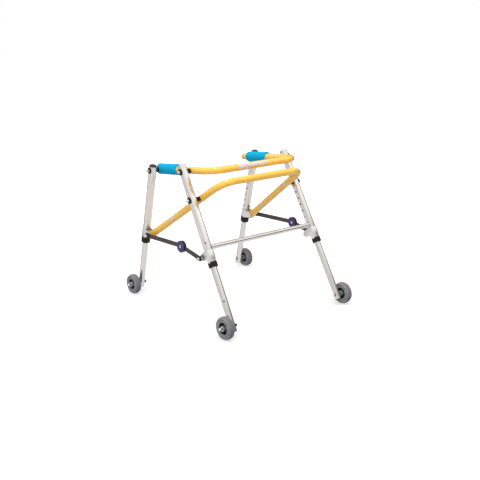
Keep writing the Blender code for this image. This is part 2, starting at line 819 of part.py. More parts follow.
def u_section(end, inner, thick):
    """The plan of a bracket: a wall round the far side of a leg and two ears towards its pivot.

    The ears point to +y here.
    """
    ear = LOW_PIVOT_REACH[end] + EAR_RADIUS + EAR_TRIM
    corner = LEG_CORNER + GAP
    steps = 3
    outline = []
    for size, radius, reverse in ((inner + thick, corner + thick, False), (inner, corner, True)):
        flat = size - radius
        wall = [(-size, ear)]
        wall += arc((-flat, -flat), radius, pi, 3 * pi / 2, steps)
        wall += arc((flat, -flat), radius, -pi / 2, 0.0, steps)
        wall.append((size, ear))
        outline += list(reversed(wall)) if reverse else wall
    return outline


def ear_outline(end):
    """The side view of a bracket, with y towards the pivot and height upwards."""
    top = BRACKET_DOWN[end]
    bottom = top + BRACKET_HEIGHT[end]
    back = LEG_RADIUS + BRACKET_BACK
    centre = (LOW_PIVOT_REACH[end], -low_pivot_down(end))
    ear = arc(centre, EAR_RADIUS, radians(EAR_LOW_DEGREES), radians(EAR_HIGH_DEGREES), 7)
    return [(-back, -top), (-back, -bottom), (EAR_HEEL, -bottom)] + ear + [(LEG_RADIUS, -top)]


def make_bracket(end, word, joint):
    side = SIDES[word]
    frame = frame_of(end, side)
    middle = BRACKET_DOWN[end] + BRACKET_HEIGHT[end] / 2
    name = f"bracket_{end}_{word}"
    mesh = prism(name, [u_section(end, LEG_RADIUS + GAP, SHEET)], BRACKET_HEIGHT[end] + EAR_TRIM)
    mesh.transform(Matrix.Translation((0.0, 0.0, -middle)))
    outline = ear_outline(end)
    if end == "front":
        mesh.transform(Matrix.Rotation(pi, 4, "Z"))
        outline = [(-y, z) for y, z in outline]
    bracket = link_mesh(name, mesh, "zinc")
    hang(bracket, joint, frame)
    shape = prism(f"cut_{name}_side", [outline], CUT_THROUGH)
    boolean(bracket, tool(f"cut_{name}_side", shape, frame @ SIDE_VIEW), "INTERSECT")
    pivot = low_pivot(end, side)
    outer_ear = pivot + Vector((side * (LEG_RADIUS + SHEET / 2), 0.0, 0.0))
    boolean(bracket, pin_tool(f"cut_{name}_pin", outer_ear, PIN_HOLE_RADIUS, 4 * SHEET))
    inward = Matrix.Rotation(-side * pi / 2, 4, "Y")
    face = LEG_RADIUS + GAP + SHEET
    profile = domed_shank(face, RIVET_HEIGHT, RIVET_RADIUS, RIVET_RADIUS, face - BITE)
    head = tool(f"add_{name}_head", turned(name, profile, BOLT_STEPS), at(pivot, inward))
    boolean(bracket, head, "UNION")
    smooth(bracket)


# Brace


def bar_outline(pivot, hub):
    """A straight bar with a round pivot end and a disc at its hub, in the side view."""
    length = (hub - pivot).length
    half = BAR_WIDTH / 2
    end_bite = asin(half / BAR_END_RADIUS)
    hub_bite = asin(half / HUB_RADIUS)
    points = arc((0.0, 0.0), BAR_END_RADIUS, end_bite, 2 * pi - end_bite, 8)
    points += arc((length, 0.0), HUB_RADIUS, -pi + hub_bite, pi - hub_bite, 20)
    along = (hub - pivot) / length
    across = Vector((-along.y, along.x))
    return [tuple(pivot + along * x + across * y) for x, y in points]


def make_bar(name, joint, pivot, centre_x, hole, boss):
    """One bar of a brace, grooved along both faces, with a boss joined on."""
    pivot = pivot.yz
    hub = Vector(BRACE_HUB)
    mesh = prism(name, [bar_outline(pivot, hub), hole], BAR_THICK)
    bar = link_mesh(name, mesh, "black_plastic")
    origin = world_of(joint)
    bar.data.transform(Matrix.Translation((centre_x, 0.0, 0.0)) @ SIDE_VIEW)
    bar.data.transform(Matrix.Translation(-origin))
    hang(bar, joint, Matrix.Translation(origin))
    along = (hub - pivot).normalized()
    across = Vector((-along.y, along.x))
    start = pivot + along * GROOVE_START
    stop = hub - along * (HUB_RADIUS + GROOVE_END)
    half_length = (stop - start).length / 2
    half = GROOVE_WIDE / 2
    outline = [(-half_length, -half), (half_length, -half), (half_length, half), (-half_length, half)]
    lie = Matrix(((0, 0, 1), (along.x, across.x, 0), (along.y, across.y, 0))).to_4x4()
    for face in (-1, 1):
        for row in (-1, 1):
            spot = (start + stop) / 2 + across * row * BAR_WIDTH * GROOVE_ROW
            cutter_name = f"cut_{name}_groove_{face}_{row}"
            groove = prism(cutter_name, [outline], 2 * GROOVE_DEEP)
            place = Vector((centre_x + face * BAR_THICK / 2, spot.x, spot.y))
            boolean(bar, tool(cutter_name, groove, at(place, lie)))
    boolean(bar, boss, "UNION")
    smooth(bar)


def make_brace(word):
    """Two bars, one beside the other, and a knob on the face that looks left on both sides."""
    side = SIDES[word]
    offset = BAR_THICK / 2 + GAP
    front_x = side * BRACE_X + offset
    rear_x = side * BRACE_X - offset
    hub = hub_place(side)
    knob_inner = offset + BAR_THICK / 2 + GAP
    knob_outer = knob_inner + KNOB_THICK[side]
    profile = domed_shank(
        knob_outer + GAP, HUB_CAP_HEIGHT[side], HUB_CAP_RADIUS, HUB_PIN_RADIUS, -offset - BITE)
    mesh = turned(f"add_hub_{word}", profile, BOLT_STEPS)
    centre_bolt = tool(f"add_hub_{word}", mesh, at(hub, TO_LEFT))
    pivot = low_pivot("front", side)
    hole = circle(PIN_HOLE_RADIUS, HOLE_STEPS, tuple(pivot.yz))
    make_bar(f"brace_bar_front_{word}", f"brace_front_{word}", pivot, front_x, hole, centre_bolt)
    pivot = low_pivot("rear", side)
    face = abs(rear_x) + BAR_THICK / 2
    profile = nut_profile(face + WASHER_THICK, REAR_NUT_LENGTH, REAR_WASHER_RADIUS, face - BITE)
    mesh = turned(f"add_nut_{word}", profile + [(0.0, face - BITE)], BOLT_STEPS)
    outward = Matrix.Rotation(side * pi / 2, 4, "Y")
    nut = tool(f"add_nut_{word}", mesh, at((0.0, *pivot.yz), outward))
    hole = circle(HUB_PIN_RADIUS + GAP, BOLT_STEPS, BRACE_HUB)
    make_bar(f"brace_bar_rear_{word}", f"brace_hub_{word}", pivot, rear_x, hole, nut)
    bore = HUB_PIN_RADIUS + GAP
    profile = [(bore, knob_outer), (KNOB_RADIUS - KNOB_EDGE, knob_outer)]
    profile += [(KNOB_RADIUS, knob_outer - KNOB_EDGE), (KNOB_RADIUS, knob_inner), (bore, knob_inner)]
    name = f"brace_knob_{word}"
    knob = link_mesh(name, turned(name, profile, WHEEL_STEPS, closed=True), "purple_plastic")
    hang(knob, f"brace_hub_{word}", at(hub, TO_LEFT))
    smooth(knob)


# Wheels


def rim_radius(end):
    return WHEEL_RADIUS[end] * RIM_SHARE


def make_tyre(end, word):
    steps = 6
    seat = rim_radius(end) + GAP
    seat_half = TYRE_HALF_WIDTH * TYRE_SEAT_SHARE
    shoulder = WHEEL_RADIUS[end] - TYRE_CROWN
    profile = [(seat, seat_half)]
    for i in range(steps + 1):
        angle = pi * i / steps
        profile.append((shoulder + TYRE_CROWN * sin(angle), TYRE_HALF_WIDTH * cos(angle)))
    profile.append((seat, -seat_half))
    name = f"tyre_{end}_{word}"
    tyre = link_mesh(name, turned(name, profile, WHEEL_STEPS, closed=True), "grey_rubber")
    joint = f"wheel_{end}_{word}"
    hang(tyre, joint, at(world_of(joint), ALONG_X))
    smooth(tyre, 50.0)


def rib_outline(hub, ring):
    """A star of ribs from inside the hub to inside the ring."""
    inner = hub - 2 * BITE
    outer = ring + BITE
    outline = []
    for number in range(RIBS):
        angle = 2 * pi * number / RIBS
        along = Vector((cos(angle), sin(angle)))
        across = Vector((-along.y, along.x)) * RIB_HALF_THICK
        for reach, edge in ((inner, -1), (outer, -1), (outer, 1), (inner, 1)):
            outline.append(tuple(along * reach + across * edge))
    return outline


def make_rim(end, word):
    """A wheel's centre: a hub, a closed web and a ring, with ribs across the web."""
    bore = AXLE_RADIUS + GAP
    hub = AXLE_RADIUS + HUB_WALL
    outer = rim_radius(end)
    ring = outer - RING_WALL
    profile = [(bore, HUB_HALF_WIDTH), (hub, HUB_HALF_WIDTH), (hub, WEB_HALF)]
    profile += [(ring, WEB_HALF), (ring, RING_HALF), (outer, RING_HALF)]
    profile += [(r, -z) for r, z in reversed(profile)]
    name = f"rim_{end}_{word}"
    rim = link_mesh(name, turned(name, profile, closed=True), "grey_plastic")
    joint = f"wheel_{end}_{word}"
    place = at(world_of(joint), ALONG_X)
    hang(rim, joint, place)
    middle = circle(bore + BITE, BOLT_STEPS)
    ribs = prism(f"add_{name}_ribs", [rib_outline(hub, ring), middle], 2 * RIB_HALF_DEPTH)
    boolean(rim, tool(f"add_{name}_ribs", ribs, place), "UNION")
    smooth(rim)


def make_axle(end, word):
    """A shouldered bolt with a nut inside the leg and a washer and domed cap outside the wheel."""
    side = SIDES[word]
    centre = AXLES[end](side)
    leg_x = abs(centre.x)
    leg_inner = leg_x - SLIDE_RADIUS - GAP
    leg_outer = leg_x + SLIDE_RADIUS + GAP
    hub_inner = WHEEL_X - HUB_HALF_WIDTH - GAP
    hub_outer = WHEEL_X + HUB_HALF_WIDTH + GAP
    cap_start = hub_outer + AXLE_WASHER_THICK
    cap_end = cap_start + AXLE_CAP_LENGTH
    nut_end = leg_inner - AXLE_NUT_LENGTH
    profile = [(0.0, cap_end)]
    steps = 3
    for i in range(1, steps + 1):
        angle = pi / 2 * (1 - i / steps)
        profile.append((AXLE_SHOULDER * cos(angle), cap_end - AXLE_SHOULDER * (1 - sin(angle))))
    profile += [(AXLE_SHOULDER, cap_start), (AXLE_WASHER_RADIUS, cap_start)]
    profile.append((AXLE_WASHER_RADIUS, hub_outer))
    profile += [(AXLE_RADIUS, hub_outer), (AXLE_RADIUS, hub_inner), (AXLE_SHOULDER, hub_inner)]
    profile += [(AXLE_SHOULDER, leg_outer), (AXLE_RADIUS, leg_outer), (AXLE_RADIUS, leg_inner)]
    profile += [(AXLE_SHOULDER, leg_inner), (AXLE_SHOULDER, nut_end), (0.0, nut_end - AXLE_TIP)]
    name = f"axle_{end}_{word}"
    axle = link_mesh(name, turned(name, profile, BOLT_STEPS), "zinc")
    outward = Matrix.Rotation(side * pi / 2, 4, "Y")
    hang(axle, f"slide_{end}_{word}", at((0.0, centre.y, centre.z), outward))
    smooth(axle)


# Assembly


def make_top_pivots(word):
    """The bolts and spacers that hold the two legs of a side to the upper rail."""
    side = SIDES[word]
    rail_inside = RAIL_X - RAIL_RADIUS - GAP
    rail_outside = RAIL_X + RAIL_RADIUS + GAP
    run = rail_direction(FRONT_TOP_PIVOT, REAR_TOP_PIVOT) * CUT_THROUGH / 2
    for end, side_view in (("front", FRONT_TOP_PIVOT), ("rear", REAR_TOP_PIVOT)):
        leg_x = abs(LEG_TOPS[end](side).x)
        place = point(side * RAIL_X, side_view)
        washer = leg_x + LEG_RADIUS + GAP
        leg_face = leg_x - LEG_RADIUS - GAP
        name = f"top_{end}_{word}"
        make_pin(f"pivot_bolt_{name}", "frame_root", place, side, rail_inside, washer)
        make_spacer(
            f"spacer_{name}", "frame_root", place, side, rail_outside, leg_face, place - run, place + run)


def make_lower_pivots(word):
    """The bolts at the middle and the front of a lower rail's arm, and the spacer at its middle."""
    side = SIDES[word]
    front, middle, arm = lower_rail_side(side)
    leg_x = abs(mid_pivot(side).x)
    rail_inside = RAIL_X - RAIL_RADIUS - GAP - MID_HEAD_BACK
    rail_outside = RAIL_X + RAIL_RADIUS + GAP
    leg_half = LEG_RADIUS + 2 * GAP
    run = arm * CUT_THROUGH / 2
    make_pin(f"pivot_bolt_mid_{word}", "lower_rail_fold", middle, side, rail_inside, leg_x + leg_half)
    make_spacer(
        f"spacer_mid_{word}", "lower_rail_fold", middle, side, rail_outside, leg_x - leg_half,
        middle - run, middle + run)
    ear = FRONT_LEG_X + leg_half
    bar_middle = BRACE_X + side * (BAR_THICK / 2 + GAP)
    near_face = bar_middle - BAR_THICK / 2 - GAP
    far_face = bar_middle + BAR_THICK / 2 + GAP
    joint = f"front_fold_{word}"
    make_pin(f"pivot_bolt_low_{word}", joint, front, side, ear, far_face, (ear + SHEET, near_face))


def make_side(word):
    fold = f"front_fold_{word}"
    for end, joint in (("front", fold), ("rear", "rear_fold")):
        slide = f"slide_{end}_{word}"
        make_leg_tube(end, word, joint)
        make_collar(end, word, joint)
        make_bracket(end, word, joint)
        make_extension(end, word, slide)
        make_button(end, word, slide)
        make_axle(end, word)
        make_tyre(end, word)
        make_rim(end, word)
    make_top_plug(word, fold)
    make_grip(word)
    make_brace(word)
    make_top_pivots(word)
    make_lower_pivots(word)


make_upper_rail()
make_lower_rail()
make_stretcher()
for side_word in SIDES:
    make_side(side_word)
bpy.context.view_layer.update()
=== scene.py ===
"""The looks of a small folding walker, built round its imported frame.

+X is the right-hand side, +Y the open front, and +Z is up. Sizes are in metres.
Side is -1 on the left and +1 on the right.
"""

from math import acos, asin, cos, pi, radians, sin, sqrt

import bmesh
import bpy
from mathutils import Matrix, Vector, noise


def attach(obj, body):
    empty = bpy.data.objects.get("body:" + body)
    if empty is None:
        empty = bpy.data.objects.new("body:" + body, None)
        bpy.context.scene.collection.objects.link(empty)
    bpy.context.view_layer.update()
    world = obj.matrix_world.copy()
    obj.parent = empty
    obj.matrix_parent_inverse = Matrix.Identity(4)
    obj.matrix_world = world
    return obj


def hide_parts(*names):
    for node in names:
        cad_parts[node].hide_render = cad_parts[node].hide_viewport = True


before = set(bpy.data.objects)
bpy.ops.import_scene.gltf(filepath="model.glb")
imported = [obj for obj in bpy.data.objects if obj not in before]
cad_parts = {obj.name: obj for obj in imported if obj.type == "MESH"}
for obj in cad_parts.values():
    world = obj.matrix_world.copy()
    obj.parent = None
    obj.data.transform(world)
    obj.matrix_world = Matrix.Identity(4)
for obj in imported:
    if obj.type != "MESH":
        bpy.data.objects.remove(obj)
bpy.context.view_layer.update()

# Sizes that the frame has too

GAP = 0.0003
RAIL_RADIUS = 0.0127
LEG_RADIUS = 0.0127
LEG_WALL = 0.0014
LEG_CORNER = 0.0075
SLIDE_RADIUS = 0.0110
SLIDE_WALL = 0.0015
WHEEL_RADIUS = {"front": 0.0380, "rear": 0.0405}
TYRE_HALF_WIDTH = 0.0127
RAIL_X = 0.2002
FRONT_LEG_X = 0.2443
REAR_LEG_TOP_X = 0.2388
REAR_LEG_FOOT_X = 0.2499
WHEEL_X = 0.2805
BRACE_X = 0.2650
FRONT_TOP_PIVOT = (0.1904, 0.5023)
REAR_TOP_PIVOT = (-0.0026, 0.5267)
FRONT_AXLE = (0.2936, WHEEL_RADIUS["front"])
REAR_AXLE = (-0.2936, WHEEL_RADIUS["rear"])
BRACE_HUB = (-0.0252, 0.2633)
MID_PIVOT_DOWN = 0.1065
STRETCHER_DOWN = 0.2835
BRACKET_DOWN = {"front": 0.2385, "rear": 0.2945}
BRACKET_HEIGHT = {"front": 0.0330, "rear": 0.0310}
LOW_PIVOT_DOWN = {"front": 0.2496, "rear": 0.3095}
LOW_PIVOT_REACH = {"front": 0.0374, "rear": 0.0320}
BUTTON_DOWN = {"front": 0.1960, "rear": 0.2486}
COLLAR_DOWN = {"front": 0.2725, "rear": 0.3355}
TUBE_TOP = {"front": 0.0160, "rear": 0.0250}
SLIDE_ABOVE_BUTTON = {"front": 0.0360, "rear": 0.0103}
SLIDE_PAST_AXLE = 0.0180
HOLE_PITCH = 0.0254
HOLES_ABOVE_BUTTON = 4
HOLES_BELOW_BUTTON = 1
BUTTON_RADIUS = 0.0033
BUTTON_PROUD = 0.0036
COLLAR_HEIGHT = {"front": 0.0240, "rear": 0.0195}
COLLAR_WALL = {"front": 0.0021, "rear": 0.0015}
COLLAR_TUBE_SHARE = 0.7
COLLAR_DIP_RADIUS = 0.0120
COLLAR_DIP_DOWN = 0.0075
PLUG_DOME = 0.0062
PLUG_RIM = 0.0015
PLUG_DEPTH = 0.0060
RAIL_FRONT_OVERHANG = 0.0180
UPPER_CROSSBAR_BACK = 0.1140
LOWER_CROSSBAR_BACK = 0.1230
RAIL_BEND_RADIUS = 0.0600
TONGUE_LENGTH = 0.0210
TONGUE_HALF_THICK = 0.0090
TONGUE_HALF_HEIGHT = 0.0132
TONGUE_PAST_PIVOT = 0.0160
TONGUE_CORNER = 0.0060
BUSH_RADIUS = 0.0075
GRIP_RADIUS = 0.0203
GRIP_LENGTH = {-1: 0.1230, 1: 0.1130}
GRIP_PAST_PIVOT = {-1: 0.0165, 1: -0.0180}
GRIP_END_ROUND = 0.0060
STRETCHER_RADIUS = 0.0090
FITTING_RADIUS = 0.0098
FITTING_LENGTH = 0.0120
SHEET = 0.0018
BRACKET_BACK = 0.0060
EAR_RADIUS = 0.0110
EAR_TRIM = 0.0040
EAR_HEEL = 0.0114
BAR_THICK = 0.0035
BAR_WIDTH = 0.0165
BAR_END_RADIUS = 0.0095
HUB_RADIUS = 0.0208
HUB_PIN_RADIUS = 0.0040
HUB_CAP_HEIGHT = {-1: 0.0028, 1: 0.0006}
KNOB_RADIUS = 0.0215
KNOB_THICK = {-1: 0.0062, 1: 0.0040}
GROOVE_DEEP = 0.0007
GROOVE_WIDE = 0.0022
GROOVE_START = 0.0120
GROOVE_END = 0.0040
GROOVE_ROW = 0.22
PIN_RADIUS = 0.0030
PIN_HOLE_RADIUS = PIN_RADIUS + GAP
WASHER_RADIUS = 0.0118
WASHER_THICK = 0.0024
NUT_RADIUS = 0.0062
NUT_LENGTH = 0.0125
NUT_SKIRT = 0.0042
HEAD_RADIUS = 0.0065
HEAD_HEIGHT = 0.0030
RIVET_RADIUS = 0.0058
RIVET_HEIGHT = 0.0030
REAR_WASHER_RADIUS = 0.0085
REAR_NUT_LENGTH = 0.0140
SPACER_RADIUS = 0.0090
SADDLE_DEPTH = 0.0040
MID_HEAD_BACK = 0.0022
AXLE_RADIUS = 0.0040
AXLE_SHOULDER = 0.0062
AXLE_WASHER_RADIUS = 0.0092
AXLE_WASHER_THICK = 0.0014
AXLE_CAP_LENGTH = 0.0125
AXLE_NUT_LENGTH = 0.0060
AXLE_TIP = 0.0015
TYRE_CROWN = 0.0052
TYRE_SEAT_SHARE = 0.84
RIM_SHARE = 0.64
RING_WALL = 0.0042
RING_HALF = 0.0106
HUB_WALL = 0.0052
HUB_HALF_WIDTH = 0.0135
WEB_HALF = 0.0018
RIBS = 5
RIB_HALF_THICK = 0.0011
RIB_HALF_DEPTH = 0.0078

SIDES = {"left": -1, "right": 1}
ENDS = ("front", "rear")
ALONG_X = Matrix.Rotation(pi / 2, 4, "Y")
SIDE_VIEW = Matrix(((0, 0, 1), (1, 0, 0), (0, 1, 0))).to_4x4()
IN_PLACE = Matrix.Identity(4)
ACROSS = Vector((1.0, 0.0, 0.0))
RAIL_FRONT = Vector((0.0, *FRONT_TOP_PIVOT))
RAIL_REAR = Vector((0.0, *REAR_TOP_PIVOT))
RAIL_BACK = (RAIL_REAR - RAIL_FRONT).normalized()

# Finer details that only the looks have

TUBE_EDGE = 0.0003
SHEET_EDGE = 0.0004
MOULD_EDGE = 0.0006
BAR_EDGE = 0.0005
CUT_THROUGH = 0.0600
FINE = 56
MEDIUM = 40
SMALL = 28
SHARP = radians(35)
SOFT_SHARP = radians(50)
TYRE_SHARP = radians(40)

# Where things are


def point(x, side_view):
    return Vector((x, side_view[0], side_view[1]))


def at(place, turn=None):
    return Matrix.Translation(place) @ (turn or IN_PLACE)


def lift(z):
    return Matrix.Translation((0.0, 0.0, z))


def outward(side):
    """A turn that takes z to the outer side of the walker."""
    return Matrix.Rotation(side * pi / 2, 4, "Y")


def leg_top(end, side):
    if end == "front":
        return point(side * FRONT_LEG_X, FRONT_TOP_PIVOT)
    return point(side * REAR_LEG_TOP_X, REAR_TOP_PIVOT)


def axle_place(end, side):
    if end == "front":
        return point(side * FRONT_LEG_X, FRONT_AXLE)
    return point(side * REAR_LEG_FOOT_X, REAR_AXLE)


def leg_frame(end, side):
    """A leg's own axes: z up the leg, x sideways and y forward, from its top pivot."""
    top = leg_top(end, side)
    up = (top - axle_place(end, side)).normalized()
    across = (ACROSS - up * up.x).normalized()
    forward = up.cross(across)
    axes = Matrix((across, forward, up)).transposed().to_4x4()
    axes.translation = top
    return axes


def leg_length(end):
    return (leg_top(end, 1) - axle_place(end, 1)).length


def on_leg(end, side, down, forward=0.0):
    return leg_frame(end, side) @ Vector((0.0, forward, -down))


def low_pivot(end, side):
    reach = LOW_PIVOT_REACH[end]
    return on_leg(end, side, LOW_PIVOT_DOWN[end], -reach if end == "front" else reach)


def lower_arm(side):
    """The low pivot, the middle pivot and the direction of one arm of the lower rail."""
    front = low_pivot("front", side)
    middle = on_leg("rear", side, MID_PIVOT_DOWN)
    middle.x = side * RAIL_X
    return front, middle, (middle - front).normalized()


def leg_body(end, word):
    return f"front_leg_{word}" if end == "front" else "rear_frame"


# Materials

DRAWN = (1.0, 1.0, 0.02)
EVEN = (1.0, 1.0, 1.0)
NOISE_LOW = 0.3
NOISE_HIGH = 0.7


def linear(colour):
    """Turns a colour as it is seen, from 0 to 255, into the numbers that a shader takes."""
    done = []
    for value in colour:
        value /= 255
        done.append(value / 12.92 if value <= 0.04045 else ((value + 0.055) / 1.055) ** 2.4)
    return (*done, 1.0)


class Net:
    """The nodes of a material or a world, with short ways to add the few kinds that are used here."""

    def __init__(self, owner):
        owner.use_nodes = True
        self.nodes = owner.node_tree.nodes
        self.links = owner.node_tree.links

    def feed(self, socket, value):
        """Gives an input a plain value, or a link from another node's output."""
        if isinstance(value, bpy.types.NodeSocket):
            self.links.new(value, socket)
        else:
            socket.default_value = value

    def node(self, kind, inputs, **settings):
        """Adds a node with its settings and inputs, and returns its outputs."""
        made = self.nodes.new(f"ShaderNode{kind}")
        for name, value in settings.items():
            setattr(made, name, value)
        for name, value in inputs.items():
            self.feed(made.inputs[name], value)
        return made.outputs

    def ramp(self, source, low, high, first=0.0, last=1.0, soft=False):
        inputs = {"Value": source, "From Min": low, "From Max": high, "To Min": first, "To Max": last}
        return self.node("MapRange", inputs, interpolation_type="SMOOTHSTEP" if soft else "LINEAR")["Result"]

    def math(self, operation, first, second):
        return self.node("Math", {0: first, 1: second}, operation=operation)[0]


class Look(Net):
    """A procedural material: two close colours mixed by noise, with roughness and bump from noise too."""

    def __init__(self, name, light, dark, roughness, metallic=0.0, shine=0.5):
        self.material = bpy.data.materials.new(name)
        super().__init__(self.material)
        self.inputs = self.nodes["Principled BSDF"].inputs
        self.inputs["Metallic"].default_value = metallic
        self.inputs["Specular IOR Level"].default_value = shine
        self.place = self.node("TexCoord", {})["Object"]
        self.light = linear(light)
        self.dark = linear(dark)
        self.roughness = roughness
        self.height = None

    def noise(self, scale, detail=4.0, stretch=EVEN):
        place = self.node("Mapping", {"Vector": self.place, "Scale": stretch})["Vector"]
        return self.node("TexNoise", {"Vector": place, "Scale": scale, "Detail": detail})["Fac"]

    def cells(self, scale):
        return self.node("TexVoronoi", {"Vector": self.place, "Scale": scale})["Distance"]

    def colour_by(self, source, low=NOISE_LOW, high=NOISE_HIGH):
        inputs = {"Factor": self.ramp(source, low, high), "A": self.dark, "B": self.light}
        self.feed(self.inputs["Base Color"], self.node("Mix", inputs, data_type="RGBA")["Result"])
        return self

    def roughness_by(self, source, spread):
        rough = (self.roughness - spread, self.roughness + spread)
        self.feed(self.inputs["Roughness"], self.ramp(source, NOISE_LOW, NOISE_HIGH, *rough))
        return self

    def bump_by(self, source, strength, distance):
        inputs = {"Strength": strength, "Distance": distance, "Height": source}
        if self.height:
            inputs["Normal"] = self.height
        self.height = self.node("Bump", inputs)["Normal"]
        self.feed(self.inputs["Normal"], self.height)
        return self


def make_yellow():
    look = Look("yellow_powder_coat", (255, 199, 76), (250, 186, 60), 0.42)
    look.colour_by(look.noise(38.0, 5.0)).roughness_by(look.noise(220.0), 0.07)
    look.inputs["Coat Weight"].default_value = 0.8
    look.inputs["Coat Roughness"].default_value = 0.12
    return look.bump_by(look.noise(420.0, 2.0), 0.2, 0.0003).material


def make_foam():
    look = Look("blue_foam", (0, 170, 212), (0, 152, 196), 0.9, shine=0.25)
    look.colour_by(look.noise(160.0, 6.0)).roughness_by(look.noise(500.0), 0.1)
    return look.bump_by(look.cells(900.0), 0.5, 0.0006).bump_by(look.noise(120.0, 6.0), 0.5, 0.0008).material


def make_metal(name, light, dark, roughness, metallic, stretch=EVEN):
    look = Look(name, light, dark, roughness, metallic)
    grain = look.noise(900.0, 3.0, stretch)
    look.colour_by(look.noise(30.0, 4.0, stretch)).roughness_by(grain, 0.06)
    return look.bump_by(grain, 0.12, 0.0001).material


def make_plastic(name, light, dark, roughness, shine=0.5):
    look = Look(name, light, dark, roughness, shine=shine)
    look.colour_by(look.noise(90.0, 5.0)).roughness_by(look.noise(600.0), 0.08)
    return look.bump_by(look.noise(1400.0, 3.0), 0.4, 0.00015).material


# Heights over which the painted shade inside a tube runs from dark to bright.
TUBE_LIGHT_FROM = -0.020
TUBE_LIGHT_TO = 0.012


def make_tube_inside():
    """The bare inner wall of a tube, with painted shade: bright near its top end, and darker further in."""
    look = Look("tube_inside", (232, 232, 232), (22, 21, 21), 0.55, 0.2)
    grain = look.noise(300.0, 4.0, DRAWN)
    height = look.node("SeparateXYZ", {0: look.place})["Z"]
    # Painted shade: the colour darkens with depth into the tube.
    level = look.ramp(height, TUBE_LIGHT_FROM, TUBE_LIGHT_TO, 0.0, 0.85)
    look.colour_by(look.math("ADD", level, look.math("MULTIPLY", grain, 0.3)), 0.1, 1.0)
    return look.roughness_by(grain, 0.1).bump_by(grain, 0.2, 0.0001).material


def make_rubber(name, light, dark):
    look = Look(name, light, dark, 0.78)
    look.colour_by(look.noise(130.0, 6.0)).roughness_by(look.noise(500.0), 0.1)
    return look.bump_by(look.noise(1600.0, 4.0), 0.5, 0.0003).material


LOOKS = {
    "yellow_paint": make_yellow(),
    "blue_foam": make_foam(),
    "aluminium": make_metal("anodised_tube", (236, 231, 227), (226, 220, 216), 0.15, 0.85, DRAWN),
    # Painted shade inside the tubes: darker further in.
    "tube_inside": make_tube_inside(),
    # Painted shade: near black for the tubes' cut ends and holes' edges, to outline them.
    "painted_edge_shade": make_metal("painted_edge_shade", (30, 30, 32), (20, 20, 22), 0.5, 0.3),
    "sheet_steel": make_metal("plated_sheet", (240, 238, 234), (226, 224, 220), 0.3, 0.75),
    "nut_steel": make_metal("plated_nut", (226, 228, 226), (206, 209, 208), 0.2, 0.95),
    "blue_zinc": make_metal("blue_zinc", (78, 88, 102), (50, 58, 70), 0.3, 0.8),
    "pale_zinc": make_metal("pale_zinc", (206, 218, 222), (180, 194, 200), 0.3, 0.6),
    "ivory_cap": make_plastic("ivory_cap", (236, 234, 212), (222, 220, 196), 0.3),
    "black_plastic": make_plastic("black_moulding", (24, 22, 22), (13, 12, 12), 0.5, 0.35),
    "brown_plastic": make_plastic("dark_brown_moulding", (64, 48, 44), (46, 35, 33), 0.42, 0.3),
    "brace_plastic": make_plastic("brace_bar", (80, 72, 69), (60, 54, 51), 0.45),
    "purple_plastic": make_plastic("purple_moulding", (88, 76, 132), (62, 52, 102), 0.36),
    "grey_rubber": make_rubber("grey_tyre", (146, 143, 150), (126, 123, 130)),
    # Painted shade: the tread is a little darker than the side walls, for the shade in its grooves.
    "shaded_tread_rubber": make_rubber("grey_tread_painted_shade", (132, 129, 136), (108, 106, 112)),
    "grey_plastic": make_plastic("wheel_ring", (158, 168, 160), (138, 148, 140), 0.42),
    "hub_plastic": make_plastic("wheel_hub", (134, 146, 148), (112, 126, 128), 0.36),
    # Painted shade: the near black web between the wheel's ribs stands for its shadowed openings.
    "painted_shade_recess": make_plastic("wheel_recess_painted_shade", (40, 48, 42), (24, 30, 26), 0.5, 0.3),
    "label": make_plastic("blank_label", (232, 214, 204), (206, 188, 180), 0.35),
    "grey_label": make_plastic("blank_grey_label", (222, 216, 206), (200, 196, 190), 0.35),
}
SLOT_OF = {
    "zinc": ("sheet_steel", "nut_steel", "blue_zinc", "pale_zinc", "ivory_cap"),
    "black_plastic": ("brace_plastic",),
    "yellow_paint": ("label", "grey_label"),
}
SLOT_OF = {look: slot for slot, looks in SLOT_OF.items() for look in looks}

# Mesh tools

CORNER_SHARE = 0.4
ROUND_STEPS = 3
BOX_STEPS = 8
CAP_STEPS = 8
EDGE_STEPS = 2
WELD = 0.000005


def put(name, data):
    made = bpy.data.objects.new(name, data)
    bpy.context.scene.collection.objects.link(made)
    return made


def band(inner, outer, top, bottom):
    """The section of a plain ring or, from the axis, of a disc."""
    return [(inner, top), (outer, top), (outer, bottom), (inner, bottom)]


def arc(centre, radius, start, end, steps):
    found = []
    for i in range(steps + 1):
        angle = start + (end - start) * i / steps
        found.append((centre[0] + radius * cos(angle), centre[1] + radius * sin(angle)))
    return found


def circle(radius, steps=MEDIUM, centre=(0.0, 0.0)):
    return arc(centre, radius, 0.0, 2 * pi, steps)[:-1]


def quarter(steps):
    """Even angles from 0 to 90 degrees."""
    return [pi / 2 * i / steps for i in range(steps + 1)]


def rounded_box(half_width, half_depth, corner, steps=BOX_STEPS):
    points = []
    for number, (sx, sy) in enumerate(((1, 1), (-1, 1), (-1, -1), (1, -1))):
        centre = (sx * (half_width - corner), sy * (half_depth - corner))
        points += arc(centre, corner, number * pi / 2, (number + 1) * pi / 2, steps)
    return points


def finished(name, work, angle=SHARP):
    """Makes a mesh of a bmesh, with its faces turned outwards and smooth apart from its edges."""
    bmesh.ops.recalc_face_normals(work, faces=work.faces)
    mesh = bpy.data.meshes.new(name)
    work.to_mesh(mesh)
    work.free()
    mesh.shade_smooth()
    mesh.set_sharp_from_angle(angle=angle)
    return mesh


def skin(rings, joined=False):
    """A bmesh whose rings of points are joined one to the next, with closed ends or joined round."""
    work = bmesh.new()
    rows = [[work.verts.new(p) for p in ring] for ring in rings]
    pairs = list(zip(rows, rows[1:]))
    if joined:
        pairs.append((rows[-1], rows[0]))
    else:
        work.faces.new(list(reversed(rows[0])))
        work.faces.new(rows[-1])
    for a, b in pairs:
        for i in range(len(a)):
            j = (i + 1) % len(a)
            work.faces.new((a[i], a[j], b[j], b[i]))
    return work


